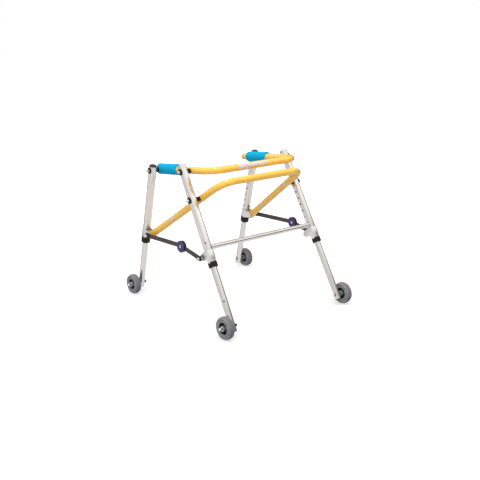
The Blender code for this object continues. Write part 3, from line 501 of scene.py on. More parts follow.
def turned(name, profile, steps=MEDIUM, closed=False, angle=SHARP):
    """A profile of (radius, z) points turned about z. An open one begins and ends on the axis."""
    work = bmesh.new()
    rows = []
    for radius, z in profile:
        if radius == 0.0:
            rows.append([work.verts.new((0.0, 0.0, z))])
        else:
            rows.append([work.verts.new((x, y, z)) for x, y in circle(radius, steps)])
    pairs = list(zip(rows, rows[1:]))
    if closed:
        pairs.append((rows[-1], rows[0]))
    for a, b in pairs:
        for i in range(steps):
            j = (i + 1) % steps
            if len(a) == 1:
                work.faces.new((a[0], b[i], b[j]))
            elif len(b) == 1:
                work.faces.new((a[j], a[i], b[0]))
            else:
                work.faces.new((a[i], b[i], b[j], a[j]))
    return finished(name, work, angle)


def rounded_profile(points):
    """Rounds the corners of a profile, apart from those on the axis."""
    done = [points[0]]
    for before, corner, after in zip(points, points[1:], points[2:]):
        corner = Vector(corner)
        back = Vector(before) - corner
        on = Vector(after) - corner
        reach = min(MOULD_EDGE, back.length * CORNER_SHARE, on.length * CORNER_SHARE)
        if corner.x == 0.0:
            done.append(tuple(corner))
            continue
        start = corner + back.normalized() * reach
        end = corner + on.normalized() * reach
        for i in range(ROUND_STEPS + 1):
            t = i / ROUND_STEPS
            done.append(tuple(start * (1 - t) ** 2 + corner * 2 * t * (1 - t) + end * t ** 2))
    done.append(points[-1])
    return done


def dome(radius, start, height, steps=CAP_STEPS):
    """Profile points of a dome from its tip down to its rim at start."""
    turns = [pi / 2 * (1 - i / steps) for i in range(1, steps + 1)]
    return [(0.0, start + height)] + [(radius * cos(a), start + height * sin(a)) for a in turns]


def mesh_of(holder):
    bpy.context.view_layer.update()
    shown = holder.evaluated_get(bpy.context.evaluated_depsgraph_get())
    return bpy.data.meshes.new_from_object(shown)


def prism_mesh(name, outlines, depth, edge=0.0, middle=0.0):
    """A flat outline, with any holes, made solid along z about its middle, with rounded edges."""
    curve = bpy.data.curves.new(name, "CURVE")
    curve.dimensions = "2D"
    curve.fill_mode = "BOTH"
    curve.extrude = depth / 2 - edge
    curve.bevel_depth = edge
    curve.bevel_resolution = EDGE_STEPS
    curve.offset = -edge
    curve.render_resolution_u = 0
    for points in outlines:
        spline = curve.splines.new("POLY")
        spline.points.add(len(points) - 1)
        for spot, (x, y) in zip(spline.points, points):
            spot.co = (x, y, 0.0, 1.0)
        spline.use_cyclic_u = True
    holder = put(name, curve)
    mesh = mesh_of(holder)
    bpy.data.objects.remove(holder, do_unlink=True)
    bpy.data.curves.remove(curve)
    work = bmesh.new()
    work.from_mesh(mesh)
    bpy.data.meshes.remove(mesh)
    bmesh.ops.remove_doubles(work, verts=work.verts, dist=WELD)
    mesh = finished(name, work)
    mesh.transform(lift(middle))
    return mesh


def carved(mesh, cuts, angle=SHARP, edge=0.0):
    """A mesh with others cut away from it, joined to it or kept in common with it, then softened."""
    name = mesh.name
    holder = put(name, mesh)
    tools = []
    for number, (operation, tool_mesh, matrix) in enumerate(cuts):
        other = put(f"{name}_tool_{number}", tool_mesh)
        other.matrix_world = matrix
        modifier = holder.modifiers.new(f"step_{number}", "BOOLEAN")
        modifier.operation = operation
        modifier.solver = "EXACT"
        modifier.object = other
        tools.append(other)
    if edge:
        modifier = holder.modifiers.new("soften", "BEVEL")
        modifier.width = edge
        modifier.segments = EDGE_STEPS
        modifier.limit_method = "ANGLE"
        modifier.angle_limit = angle
    done = mesh_of(holder)
    for other in [holder] + tools:
        data = other.data
        bpy.data.objects.remove(other, do_unlink=True)
        bpy.data.meshes.remove(data)
    done.name = name
    done.shade_smooth()
    done.set_sharp_from_angle(angle=angle)
    return done


def cut(mesh, matrix=IN_PLACE):
    return ("DIFFERENCE", mesh, matrix)


def bore(radius, matrix=IN_PLACE, length=CUT_THROUGH):
    return cut(prism_mesh("bore", [circle(radius, SMALL)], length), matrix)


def add_piece(name, mesh, look, body, matrix=IN_PLACE, stands_for=()):
    piece = put(name, mesh)
    looks = [look] if isinstance(look, str) else look
    mesh.materials.clear()
    for one in looks:
        mesh.materials.append(LOOKS[one])
    piece.matrix_world = matrix
    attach(piece, body)
    if stands_for:
        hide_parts(*stands_for)
    return piece


def add_turned(name, profile, look, body, matrix=IN_PLACE, stands_for=(), steps=MEDIUM, closed=False):
    add_piece(name, turned(name, profile, steps, closed), look, body, matrix, stands_for)


def add_mould(name, profile, *rest, **options):
    """Adds a turned piece with rounded corners."""
    add_turned(name, rounded_profile(profile), *rest, **options)


def paint(piece, rule):
    """Gives each face one of its piece's looks, by a rule on the middle of the face."""
    for polygon in piece.data.polygons:
        polygon.material_index = rule(polygon.center)


# Rails

BEND_STEPS = 20
RAIL_STEP = 0.02
TIP_SHARE = 0.12
END_DOME = 0.0040
DOME_STEPS = 7
CORNER_STEPS = 12
ARM_STATIONS = 14
ARM_SHAPED = 3 * TONGUE_LENGTH
TIP_SIDE_SHARE = 1 / 3
NEAR_SHIFTS = 2


def rounded_path(corners):
    """The middle line of a rail through some corners, bent to its radius, with close stations."""
    corners = [Vector(c) for c in corners]
    path = [corners[0]]
    for before, corner, after in zip(corners, corners[1:], corners[2:]):
        back = (before - corner).normalized()
        on = (after - corner).normalized()
        half = acos(back.dot(on)) / 2
        middle = corner + (back + on).normalized() * RAIL_BEND_RADIUS / sin(half)
        start = corner + back * RAIL_BEND_RADIUS * cos(half) / sin(half) - middle
        axis = on.cross(back)
        for i in range(BEND_STEPS + 1):
            turn = Matrix.Rotation((pi - 2 * half) * i / BEND_STEPS, 3, axis)
            path.append(middle + turn @ start)
    path.append(corners[-1])
    done = [path[0]]
    for a, b in zip(path, path[1:]):
        count = max(1, round((b - a).length / RAIL_STEP))
        done += [a.lerp(b, i / count) for i in range(1, count + 1)]
    return done


def path_frames(path):
    """For each point of a path: its place, and the directions sideways, upwards and along the path."""
    found = []
    side = ACROSS
    for i, place in enumerate(path):
        before = path[max(i - 1, 0)]
        after = path[min(i + 1, len(path) - 1)]
        along = (after - before).normalized()
        side = (side - along * side.dot(along)).normalized()
        found.append((place, side, side.cross(along), along))
    return found


def placed(outline, place, side, up):
    return [place + side * x + up * y for x, y in outline]


def make_upper_rail():
    """The upper U, a tube whose front ends are closed with low domes."""
    front = RAIL_FRONT - RAIL_BACK * RAIL_FRONT_OVERHANG
    rear = RAIL_REAR + RAIL_BACK * UPPER_CROSSBAR_BACK
    across = Vector((RAIL_X, 0.0, 0.0))
    corners = [front - across, rear - across, rear + across, front + across]
    frames = path_frames(rounded_path(corners))
    rings = [placed(circle(RAIL_RADIUS, FINE), place, side, up) for place, side, up, _ in frames]
    domes = []
    for (place, side, up, along), sign in ((frames[0], -1), (frames[-1], 1)):
        rim = place - along * sign * END_DOME
        found = []
        for angle in quarter(DOME_STEPS)[:-1]:
            share = TIP_SHARE + (1 - TIP_SHARE) * sin(angle)
            spot = rim + along * sign * END_DOME * cos(angle)
            found.append(placed(circle(RAIL_RADIUS * share, FINE), spot, side, up))
        domes.append(found + [placed(circle(RAIL_RADIUS, FINE), rim, side, up)])
    rings = domes[0] + rings[1:-1] + list(reversed(domes[1]))
    mesh = finished("rail_upper", skin(rings), SOFT_SHARP)
    add_piece("rail_upper", mesh, "yellow_paint", "upper_frame", stands_for=("upper_rail",))


def arm_section(distance):
    """An arm's outline at a distance from its low pivot: a flattened box that turns into a round tube."""
    t = min(max((distance - TONGUE_LENGTH / 2) / (2 * TONGUE_LENGTH), 0.0), 1.0)
    t = t * t * (3 - 2 * t)
    wide = TONGUE_HALF_THICK + (RAIL_RADIUS - TONGUE_HALF_THICK) * t
    tall = TONGUE_HALF_HEIGHT + (RAIL_RADIUS - TONGUE_HALF_HEIGHT) * t
    corner = TONGUE_CORNER + (RAIL_RADIUS - TONGUE_CORNER) * t
    return wide, tall, min(corner, wide, tall)


def arm_rings(front, arm):
    """Rings from the rounded tip of an arm to just before it is a plain tube."""
    flat = Vector((0.0, arm.y, arm.z)).normalized()
    rings = []
    wide, tall, corner = arm_section(0.0)
    for angle in quarter(DOME_STEPS)[1:]:
        drawn_in = TONGUE_CORNER * (1 - sin(angle))
        sides_in = drawn_in * TIP_SIDE_SHARE
        reach = TONGUE_PAST_PIVOT - TONGUE_CORNER * (1 - cos(angle))
        outline = rounded_box(wide - sides_in, tall - drawn_in, corner - sides_in, CORNER_STEPS)
        rings.append(placed(outline, front - flat * reach, ACROSS, Vector((0.0, -flat.z, flat.y))))
    for i in range(ARM_STATIONS):
        distance = ARM_SHAPED * i / ARM_STATIONS
        place = front + arm * distance
        side = (ACROSS - arm * arm.x).normalized()
        rings.append(placed(rounded_box(*arm_section(distance), CORNER_STEPS), place, side, arm.cross(side)))
    return rings


def make_lower_rail():
    """The lower U, whose front ends are flattened, with a bush through each."""
    pivots = []
    arms = []
    corners = []
    for side in SIDES.values():
        front, middle, arm = lower_arm(side)
        pivots.append(front)
        arms.append(arm_rings(front, arm))
        corners.append((front + arm * ARM_SHAPED, middle + arm * LOWER_CROSSBAR_BACK))
    left, right = corners
    frames = path_frames(rounded_path([*left, *reversed(right)]))
    outline = rounded_box(RAIL_RADIUS, RAIL_RADIUS, RAIL_RADIUS, CORNER_STEPS)
    rings = arms[0] + [placed(outline, place, side, -up) for place, side, up, _ in frames]
    rings += reversed([matched(ring, rings[-1]) for ring in arms[1]])
    mesh = finished("rail_lower", skin(rings), SOFT_SHARP)
    add_piece("rail_lower", mesh, "yellow_paint", "lower_frame", stands_for=("lower_rail",))
    half = LEG_RADIUS - 2 * GAP
    profile = band(PIN_HOLE_RADIUS, BUSH_RADIUS, half, -half)
    for word, pivot in zip(SIDES, pivots):
        place = at(pivot, ALONG_X)
        add_turned(f"rail_bush_{word}", profile, "black_plastic", "lower_frame", place, closed=True)


def matched(ring, model):
    """The same ring, begun and turned so that its points lie in line with those of another."""
    middle = sum(ring, Vector()) / len(ring)
    model_middle = sum(model, Vector()) / len(model)
    lines = [spot - model_middle for spot in model]
    choices = []
    for order in (ring, list(reversed(ring))):
        for shift in range(0, len(ring), CORNER_STEPS + 1):
            for fine in range(-NEAR_SHIFTS, NEAR_SHIFTS + 1):
                turned_ring = order[shift + fine:] + order[:shift + fine]
                if len(turned_ring) == len(ring):
                    match = sum((spot - middle).dot(line) for spot, line in zip(turned_ring, lines))
                    choices.append((match, turned_ring))
    return max(choices, key=lambda choice: choice[0])[1]


# Blank labels

LABEL_THICK = 0.0003
LABEL_CORNER = 0.0015
LABEL_STEPS = 24
LABEL_END_STEPS = 4
LABEL_TILT = radians(32)
CROSSBAR_LABELS = (
    ("label_wide", -0.0895, -0.0345, radians(150), "label"),
    ("label_narrow", -0.0295, 0.0420, radians(34), "grey_label"),
)
ARM_LABEL_LENGTH = 0.0200
ARM_LABEL_HALF = radians(54)
ARM_LABELS = (("left", 0.150, Vector((-0.62, -0.52, 0.60))), ("right", 0.119, Vector((-0.62, -0.66, 0.42))))


def make_label(name, start, end, facing, half_angle, look, body):
    """A blank label wrapped part of the way round a straight tube, with rounded corners."""
    along = (end - start).normalized()
    out = (facing - along * facing.dot(along)).normalized()
    side = along.cross(out)
    length = (end - start).length
    stations = [LABEL_CORNER * (1 - cos(angle)) for angle in quarter(LABEL_END_STEPS)]
    stations += [length - s for s in reversed(stations)]
    rings = []
    for station in stations:
        left = max(LABEL_CORNER - min(station, length - station), 0.0)
        half = half_angle - (LABEL_CORNER - sqrt(LABEL_CORNER ** 2 - left ** 2)) / RAIL_RADIUS
        outer = arc((0.0, 0.0), RAIL_RADIUS + LABEL_THICK, -half, half, LABEL_STEPS)
        inner = arc((0.0, 0.0), RAIL_RADIUS - LABEL_THICK, half, -half, LABEL_STEPS)
        rings.append(placed(outer + inner, start + along * station, out, side))
    add_piece(name, finished(name, skin(rings)), look, body)


def make_labels():
    rear = RAIL_REAR + RAIL_BACK * UPPER_CROSSBAR_BACK
    facing = Vector((0.0, -cos(LABEL_TILT), sin(LABEL_TILT)))
    for name, left, right, half_angle, look in CROSSBAR_LABELS:
        make_label(name, rear + ACROSS * left, rear + ACROSS * right, facing, half_angle, look, "upper_frame")
    for word, middle_at, facing in ARM_LABELS:
        front, _, arm = lower_arm(SIDES[word])
        start = front + arm * (middle_at - ARM_LABEL_LENGTH / 2)
        end = front + arm * (middle_at + ARM_LABEL_LENGTH / 2)
        make_label(f"label_arm_{word}", start, end, facing, ARM_LABEL_HALF, "label", "lower_frame")


# Grips

GRIP_STATIONS = 34
GRIP_SIDES = 64
GRIP_REAR_EDGE = 0.0020
GRIP_WAIST_DEPTH = 0.0009
GRIP_WAISTS = {-1: (0.36, 0.24), 1: (0.30, 0.25)}
GRIP_SWELL = 0.0006
GRIP_SWELL_FINE = 0.0003
GRIP_BEND_STEPS = 8
GRIP_EDGE_STEPS = 5
SWELL_ROUND = 1.3
SWELL_ALONG = 42
SWELL_SHIFT = 5
SWELL_FINER = 3.1


def grip_shape(z, side):
    """A grip's radius at z, with a round front end at its top and a cut rear end."""
    half = GRIP_LENGTH[side] / 2
    radius = GRIP_RADIUS
    from_front = half - z
    from_rear = z + half
    if from_front < GRIP_END_ROUND:
        left = GRIP_END_ROUND - from_front
        radius -= GRIP_END_ROUND - sqrt(GRIP_END_ROUND ** 2 - left ** 2)
    if from_rear < GRIP_REAR_EDGE:
        left = GRIP_REAR_EDGE - from_rear
        radius -= GRIP_REAR_EDGE - sqrt(GRIP_REAR_EDGE ** 2 - left ** 2)
    middle, reach = GRIP_WAISTS[side]
    off = abs(z / half - middle) / reach
    if off < 1:
        radius -= GRIP_WAIST_DEPTH * (1 + cos(pi * off)) / 2
    return radius


def make_grip(word):
    """A foam sleeve, a little uneven as foam is, that stands for the plain one."""
    side = SIDES[word]
    name = f"foam_grip_{word}"
    half = GRIP_LENGTH[side] / 2
    stations = [half - GRIP_END_ROUND * (1 - cos(angle)) for angle in quarter(GRIP_BEND_STEPS)]
    run = GRIP_LENGTH[side] - GRIP_END_ROUND - GRIP_REAR_EDGE
    stations += [half - GRIP_END_ROUND - run * i / GRIP_STATIONS for i in range(1, GRIP_STATIONS)]
    stations += [-half + GRIP_REAR_EDGE * (1 - sin(angle)) for angle in quarter(GRIP_EDGE_STEPS)]
    inner = RAIL_RADIUS + GAP / 3
    spokes = circle(1.0, GRIP_SIDES)
    rings = []
    for z in stations:
        ring = []
        for x, y in spokes:
            spot = Vector((x * SWELL_ROUND, y * SWELL_ROUND, z * SWELL_ALONG + side * SWELL_SHIFT))
            swell = GRIP_SWELL * noise.noise(spot) + GRIP_SWELL_FINE * noise.noise(spot * SWELL_FINER)
            radius = grip_shape(z, side) + swell
            ring.append(Vector((x * radius, y * radius, z)))
        rings.append(ring)
    for z in (-half, half):
        rings.append([Vector((x * inner, y * inner, z)) for x, y in spokes])
    mesh = finished(name, skin(rings, joined=True), SOFT_SHARP)
    pivot = point(side * RAIL_X, FRONT_TOP_PIVOT)
    middle = pivot + RAIL_BACK * (half - GRIP_PAST_PIVOT[side])
    place = at(middle, RAIL_BACK.to_track_quat("-Z", "Y").to_matrix().to_4x4())
    if GRIP_PAST_PIVOT[side] > 0:
        notch = prism_mesh("notch", [circle(SPACER_RADIUS + 2 * GAP)], CUT_THROUGH)
        mesh = carved(mesh, [cut(notch, place.inverted() @ at(pivot, ALONG_X))], SOFT_SHARP)
    grip = add_piece(name, mesh, "blue_foam", "upper_frame", place, (f"grip_{word}",))


# Legs

INNER_SHARE = 0.75
OUTER_SHARE = 0.2
OVAL_RADIUS = 0.0021
OVAL_HALF_RUN = 0.0016
TUBE_OVAL_DOWN = 0.2680
SLIDE_OVAL_ABOVE_AXLE = 0.0875
FOOT_PLUG_DEEP = 0.0075
FOOT_PLUG_FLANGE = 0.0028
FOOT_PLUG_SHORT = 0.0010
OVAL_STEPS = 12
BUTTON_DOME = 0.0018
BUTTON_FLANGE_IN = 0.0025
BUTTON_FLANGE_RADIUS = 0.0046
BUTTON_FLANGE_THICK = 0.0012
TOP_PLUG_STEPS = 10


def leg_outline(grow=0.0):
    size = LEG_RADIUS + grow
    return rounded_box(size, size, LEG_CORNER + grow)


def wall_hole(side, radius, down, wall):
    """A button's hole in the inner wall of a leg."""
    return bore(BUTTON_RADIUS + GAP, at((-side * radius, 0.0, -down), ALONG_X), 4 * wall)


def oval_hole(side, radius, down, wall):
    """An oval hole in the outer rear corner of a leg."""
    outline = arc((OVAL_HALF_RUN, 0.0), OVAL_RADIUS, -pi / 2, pi / 2, OVAL_STEPS)
    outline += arc((-OVAL_HALF_RUN, 0.0), OVAL_RADIUS, pi / 2, 3 * pi / 2, OVAL_STEPS)
    turn = Matrix.Rotation(-side * pi / 4, 4, "Z") @ at((side * radius, 0.0, -down), ALONG_X)
    return cut(prism_mesh("oval", [outline], 4 * wall), turn)


def within_leg(spot, share):
    """Whether a spot lies within a leg's outline, drawn in by a share of its wall."""
    size = LEG_RADIUS - LEG_WALL * share
    corner = LEG_CORNER - LEG_WALL * share
    wide = max(abs(spot.x) - size + corner, 0.0)
    deep = max(abs(spot.y) - size + corner, 0.0)
    return max(abs(spot.x), abs(spot.y)) < size and sqrt(wide ** 2 + deep ** 2) < corner


def within_slide(spot, share):
    """The same for the round sliding tube."""
    return spot.xy.length < SLIDE_RADIUS - SLIDE_WALL * share


TUBE_LOOKS = ["aluminium", "tube_inside", "painted_edge_shade"]


def paint_tube(piece, top, bottom, is_within):
    """Gives a tube's inner wall, its holes' edges and its cut ends their own looks, with painted shade: the
    inner wall darkens further in, and the holes' edges and the cut ends are near black.
    """
    def look_at(spot):
        if is_within(spot, INNER_SHARE):
            return TUBE_LOOKS.index("tube_inside")
        # Painted shade: the cut ends and the holes' edges get the near black look.
        is_end = spot.z > top - TUBE_EDGE - GAP / 3 or spot.z < -bottom + TUBE_EDGE + GAP / 3
        return TUBE_LOOKS.index("painted_edge_shade" if is_end or is_within(spot, OUTER_SHARE) else "aluminium")

    paint(piece, look_at)


def make_leg_tube(end, word):
    side = SIDES[word]
    top = TUBE_TOP[end]
    bottom = COLLAR_DOWN[end] + COLLAR_HEIGHT[end] * COLLAR_TUBE_SHARE
    name = f"tube_{end}_{word}"
    outlines = [leg_outline(), leg_outline(-LEG_WALL)]
    mesh = prism_mesh(name, outlines, top + bottom, TUBE_EDGE, (top - bottom) / 2)
    axes = leg_frame(end, side)
    cuts = []
    for down in (0.0,) if end == "front" else (0.0, MID_PIVOT_DOWN):
        cuts.append(bore(PIN_HOLE_RADIUS, axes.inverted() @ at(on_leg(end, side, down), ALONG_X)))
    for number in range(-HOLES_ABOVE_BUTTON, HOLES_BELOW_BUTTON + 1):
        down = BUTTON_DOWN[end] + number * HOLE_PITCH
        cuts.append(wall_hole(side, LEG_RADIUS - LEG_WALL / 2, down, LEG_WALL))
    if end == "rear":
        corner_reach = (LEG_RADIUS - LEG_CORNER) * sqrt(2) + LEG_CORNER
        cuts.append(oval_hole(side, corner_reach, TUBE_OVAL_DOWN, LEG_WALL))
    node = f"leg_tube_{end}_{word}"
    piece = add_piece(name, carved(mesh, cuts), TUBE_LOOKS, leg_body(end, word), axes, (node,))
    paint_tube(piece, top, bottom, within_leg)


def make_extension(end, word):
    """The sliding tube and the plug in its foot."""
    side = SIDES[word]
    axes = leg_frame(end, side)
    length = leg_length(end)
    bottom = length + SLIDE_PAST_AXLE
    top = BUTTON_DOWN[end] - SLIDE_ABOVE_BUTTON[end]
    name = f"extension_{end}_{word}"
    inner = SLIDE_RADIUS - SLIDE_WALL
    outlines = [circle(SLIDE_RADIUS, FINE), circle(inner, FINE)]
    mesh = prism_mesh(name, outlines, bottom - top, TUBE_EDGE, -(bottom + top) / 2)
    wall = SLIDE_RADIUS - SLIDE_WALL / 2
    cuts = [bore(AXLE_RADIUS + GAP, axes.inverted() @ at(axle_place(end, side), ALONG_X))]
    cuts.append(wall_hole(side, wall, BUTTON_DOWN[end], SLIDE_WALL))
    if end == "rear":
        cuts.append(oval_hole(side, wall, length - SLIDE_OVAL_ABOVE_AXLE, SLIDE_WALL))
        cuts.append(oval_hole(side, wall, TUBE_OVAL_DOWN, SLIDE_WALL))
    body = f"{end}_extension_{word}"
    piece = add_piece(name, carved(mesh, cuts), TUBE_LOOKS, body, axes, (f"leg_extension_{end}_{word}",))
    paint_tube(piece, -top, bottom, within_slide)
    plug = inner - GAP
    profile = [(0.0, 0.0), (plug, 0.0)]
    if end == "rear":
        look = "black_plastic"
        rim = SLIDE_RADIUS - GAP
        low = -FOOT_PLUG_DEEP - FOOT_PLUG_FLANGE
        profile += [(plug, -FOOT_PLUG_DEEP), (rim, -FOOT_PLUG_DEEP), (rim, low), (0.0, low)]
    else:
        look = "grey_plastic"
        low = -FOOT_PLUG_DEEP + FOOT_PLUG_SHORT
        profile += [(plug, low), (0.0, low)]
    add_mould(f"foot_plug_{end}_{word}", profile, look, body, axes @ lift(-bottom + FOOT_PLUG_DEEP))


def make_button(end, word):
    """A domed spring button in the inner wall of a leg, with a flange inside the tube."""
    side = SIDES[word]
    tip = LEG_RADIUS + BUTTON_PROUD
    base = SLIDE_RADIUS - SLIDE_WALL - BUTTON_FLANGE_IN
    profile = dome(BUTTON_RADIUS, tip - BUTTON_DOME, BUTTON_DOME) + [(BUTTON_RADIUS, base)]
    low = base - BUTTON_FLANGE_THICK
    profile += [(BUTTON_FLANGE_RADIUS, base), (BUTTON_FLANGE_RADIUS, low), (0.0, low)]
    place = leg_frame(end, side) @ at((0.0, 0.0, -BUTTON_DOWN[end]), outward(-side))
    node = f"snap_button_{end}_{word}"
    add_turned(f"spring_button_{end}_{word}", profile, "nut_steel", node, place, (node,))


def make_top_plug(word):
    base = TUBE_TOP["front"] + GAP
    inner = LEG_RADIUS - LEG_WALL - GAP
    profile = dome(LEG_RADIUS, base + PLUG_RIM, PLUG_DOME - PLUG_RIM, TOP_PLUG_STEPS)
    profile += [(LEG_RADIUS, base), (inner, base), (inner, base - PLUG_DEPTH), (0.0, base - PLUG_DEPTH)]
    axes = leg_frame("front", SIDES[word])
    add_turned(f"leg_cap_{word}", profile, "brown_plastic", f"front_leg_{word}", axes, (f"top_plug_{word}",))


COLLAR_GROOVE_SHARE = 0.81
COLLAR_GROOVE_DEEP = 0.0005
COLLAR_GROOVE_WIDE = 0.0008


def make_collar(end, word):
    """A moulded collar with a dipped top edge and a fine groove near its foot."""
    start = COLLAR_DOWN[end]
    height = COLLAR_HEIGHT[end]
    wall = COLLAR_WALL[end]
    name = f"locking_collar_{end}_{word}"
    mesh = prism_mesh(name, [leg_outline(wall)], height, MOULD_EDGE, -start - height / 2)
    seat = prism_mesh("seat", [leg_outline(GAP)], 2 * (height * COLLAR_TUBE_SHARE + GAP))
    dip = prism_mesh("dip", [circle(COLLAR_DIP_RADIUS)], CUT_THROUGH)
    hole = prism_mesh("bore", [circle(SLIDE_RADIUS + GAP, FINE)], 2 * CUT_THROUGH)
    outlines = [leg_outline(wall + COLLAR_GROOVE_DEEP), leg_outline(wall - COLLAR_GROOVE_DEEP)]
    cuts = [
        cut(seat, lift(-start)),
        cut(hole, lift(-start)),
        cut(dip, at((0.0, 0.0, -start + COLLAR_DIP_DOWN), ALONG_X)),
        cut(prism_mesh("groove", outlines, COLLAR_GROOVE_WIDE), lift(-start - height * COLLAR_GROOVE_SHARE)),
    ]
    axes = leg_frame(end, SIDES[word])
    node = f"collar_{end}_{word}"
    add_piece(name, carved(mesh, cuts), "black_plastic", leg_body(end, word), axes, (node,))


# Brackets

EAR_FROM = radians(-65)
EAR_TO = radians(90)
EAR_STEPS = 24
FOLD_STEPS = 10


def u_section(end):
    """The plan of a bracket: a wall round the far side of a leg and two ears towards +y."""
    ear = LOW_PIVOT_REACH[end] + EAR_RADIUS + EAR_TRIM
    inner = LEG_RADIUS + GAP
    corner = LEG_CORNER + GAP
    outline = []
    for size, radius, reverse in ((inner + SHEET, corner + SHEET, False), (inner, corner, True)):
        flat = size - radius
        wall = [(-size, ear)]
        wall += arc((-flat, -flat), radius, pi, 3 * pi / 2, FOLD_STEPS)
        wall += arc((flat, -flat), radius, -pi / 2, 0.0, FOLD_STEPS)
        wall.append((size, ear))
        outline += list(reversed(wall)) if reverse else wall
    return outline


def make_bracket(end, word):
    """A folded steel bracket, and the head of its rivet on the inner ear."""
    side = SIDES[word]
    axes = leg_frame(end, side)
    top = BRACKET_DOWN[end]
    low = top + BRACKET_HEIGHT[end]
    name = f"hinge_bracket_{end}_{word}"
    mesh = prism_mesh(name, [u_section(end)], low - top + EAR_TRIM, middle=-(top + low) / 2)
    back = LEG_RADIUS + BRACKET_BACK
    ear = arc((LOW_PIVOT_REACH[end], -LOW_PIVOT_DOWN[end]), EAR_RADIUS, EAR_FROM, EAR_TO, EAR_STEPS)
    outline = [(-back, -top), (-back, -low), (EAR_HEEL, -low)] + ear + [(LEG_RADIUS, -top)]
    if end == "front":
        mesh.transform(Matrix.Rotation(pi, 4, "Z"))
        outline = [(-y, z) for y, z in outline]
    pivot = low_pivot(end, side)
    face = LEG_RADIUS + GAP + SHEET
    outer_ear = axes.inverted() @ at(pivot + ACROSS * side * face, ALONG_X)
    cuts = [("INTERSECT", prism_mesh("shape", [outline], CUT_THROUGH), SIDE_VIEW)]
    cuts.append(bore(PIN_HOLE_RADIUS, outer_ear, 4 * SHEET))
    body = leg_body(end, word)
    mesh = carved(mesh, cuts, edge=SHEET_EDGE)
    add_piece(name, mesh, "sheet_steel", body, axes, (f"bracket_{end}_{word}",))
    profile = dome(RIVET_RADIUS, face + RIVET_HEIGHT / 4, RIVET_HEIGHT * 3 / 4)
    profile += [(RIVET_RADIUS, face), (0.0, face)]
    add_turned(f"bracket_rivet_{end}_{word}", profile, "sheet_steel", body, at(pivot, outward(-side)))


# Wheels

TREAD_POINTS = 54
TREAD_PERIOD = 4
TREAD_HALF = 0.0098
TREAD_GROOVE = 0.0008
SIDEWALL_GROOVE = 0.0009
SIDEWALL_RINGS = (
    (0.0, 1.6), (0.10, 1.6), (0.14, 0.0), (0.36, 0.0), (0.40, 1.0), (0.50, 1.0), (0.54, 0.0), (0.80, 0.0),
)
AXLE_CAP_RADIUS = 0.0046
AXLE_CAP_SHARE = 0.55
# A black ring beside the axle washer: painted shade where the cap meets the washer.
AXLE_SHADE_RADIUS = 0.0050
AXLE_SHADE_SHARE = 0.22
AXLE_STUD_RADIUS = 0.0038
TYRE_STEPS = 80
RIM_STEPS = 60
RIM_LOOKS = ["grey_plastic", "painted_shade_recess", "hub_plastic"]
CHAMFER_SHARE = 0.7
NUT_SIDES = 6
NUT_FLAT_SHARE = cos(pi / NUT_SIDES)


def tyre_profile(end):
    """A solid tyre's section: a bead, side walls with a fine groove, and a tread of close ribs."""
    seat = WHEEL_RADIUS[end] * RIM_SHARE + GAP
    shoulder = WHEEL_RADIUS[end] - TYRE_CROWN
    wall = []
    for share, deep in SIDEWALL_RINGS:
        half = TYRE_HALF_WIDTH * (TYRE_SEAT_SHARE + (1 - TYRE_SEAT_SHARE) * share)
        wall.append((seat + (shoulder - seat) * share, half - SIDEWALL_GROOVE * deep))
    tread = []
    for i in range(TREAD_POINTS + 1):
        angle = pi * i / TREAD_POINTS
        radius = shoulder + TYRE_CROWN * sin(angle)
        z = TYRE_HALF_WIDTH * cos(angle)
        if abs(z) < TREAD_HALF and i % TREAD_PERIOD < TREAD_PERIOD / 2:
            radius -= TREAD_GROOVE
        tread.append((radius, z))
    return wall + tread + [(r, -z) for r, z in reversed(wall)]


def rib_outline(hub, ring):
    """A star of ribs from inside the hub to inside the ring."""
    inner = hub - 2 * GAP
    outer = ring + 2 * GAP
    outline = []
    for number in range(RIBS):
        angle = 2 * pi * number / RIBS
        along = Vector((cos(angle), sin(angle)))
        across = Vector((-along.y, along.x)) * RIB_HALF_THICK
        for reach, edge in ((inner, -1), (outer, -1), (outer, 1), (inner, 1)):
            outline.append(tuple(along * reach + across * edge))
    return outline


def make_wheel(end, word):
    side = SIDES[word]
    body = f"{end}_wheel_{word}"
    centre = axle_place(end, side)
    centre.x = side * WHEEL_X
    place = at(centre, ALONG_X)
    name = f"wheel_tyre_{end}_{word}"
    mesh = turned(name, tyre_profile(end), TYRE_STEPS, True, TYRE_SHARP)
    tyre = add_piece(name, mesh, ["grey_rubber", "shaded_tread_rubber"], body, place, (f"tyre_{end}_{word}",))
    shoulder = WHEEL_RADIUS[end] - TYRE_CROWN
    # Painted shade: the tread band gets the darker look.
    paint(tyre, lambda spot: int(spot.xy.length > shoulder and abs(spot.z) < TREAD_HALF))
    bore_radius = AXLE_RADIUS + GAP
    hub = AXLE_RADIUS + HUB_WALL
    outer = WHEEL_RADIUS[end] * RIM_SHARE
    ring = outer - RING_WALL
    profile = [(bore_radius, HUB_HALF_WIDTH), (hub, HUB_HALF_WIDTH), (hub, WEB_HALF), (ring, WEB_HALF)]
    profile += [(ring + MOULD_EDGE, RING_HALF), (outer, RING_HALF)]
    profile += [(r, -z) for r, z in reversed(profile)]
    name = f"wheel_centre_{end}_{word}"
    mesh = turned(name, rounded_profile(profile), RIM_STEPS, True)
    middle = circle(bore_radius + 2 * GAP, SMALL)
    ribs = prism_mesh("ribs", [rib_outline(hub, ring), middle], 2 * RIB_HALF_DEPTH)
    mesh = carved(mesh, [("UNION", ribs, IN_PLACE)])
    piece = add_piece(name, mesh, RIM_LOOKS, body, place, (f"rim_{end}_{word}",))

    def look_at(spot):
        reach = spot.xy.length
        if reach < hub + GAP:
            return RIM_LOOKS.index("hub_plastic")
        # Painted shade: the web between hub and ring is near black, where the openings lie in shade.
        is_recess = reach < ring + GAP and abs(spot.z) < RIB_HALF_DEPTH + GAP
        return RIM_LOOKS.index("painted_shade_recess" if is_recess else "grey_plastic")

    paint(piece, look_at)


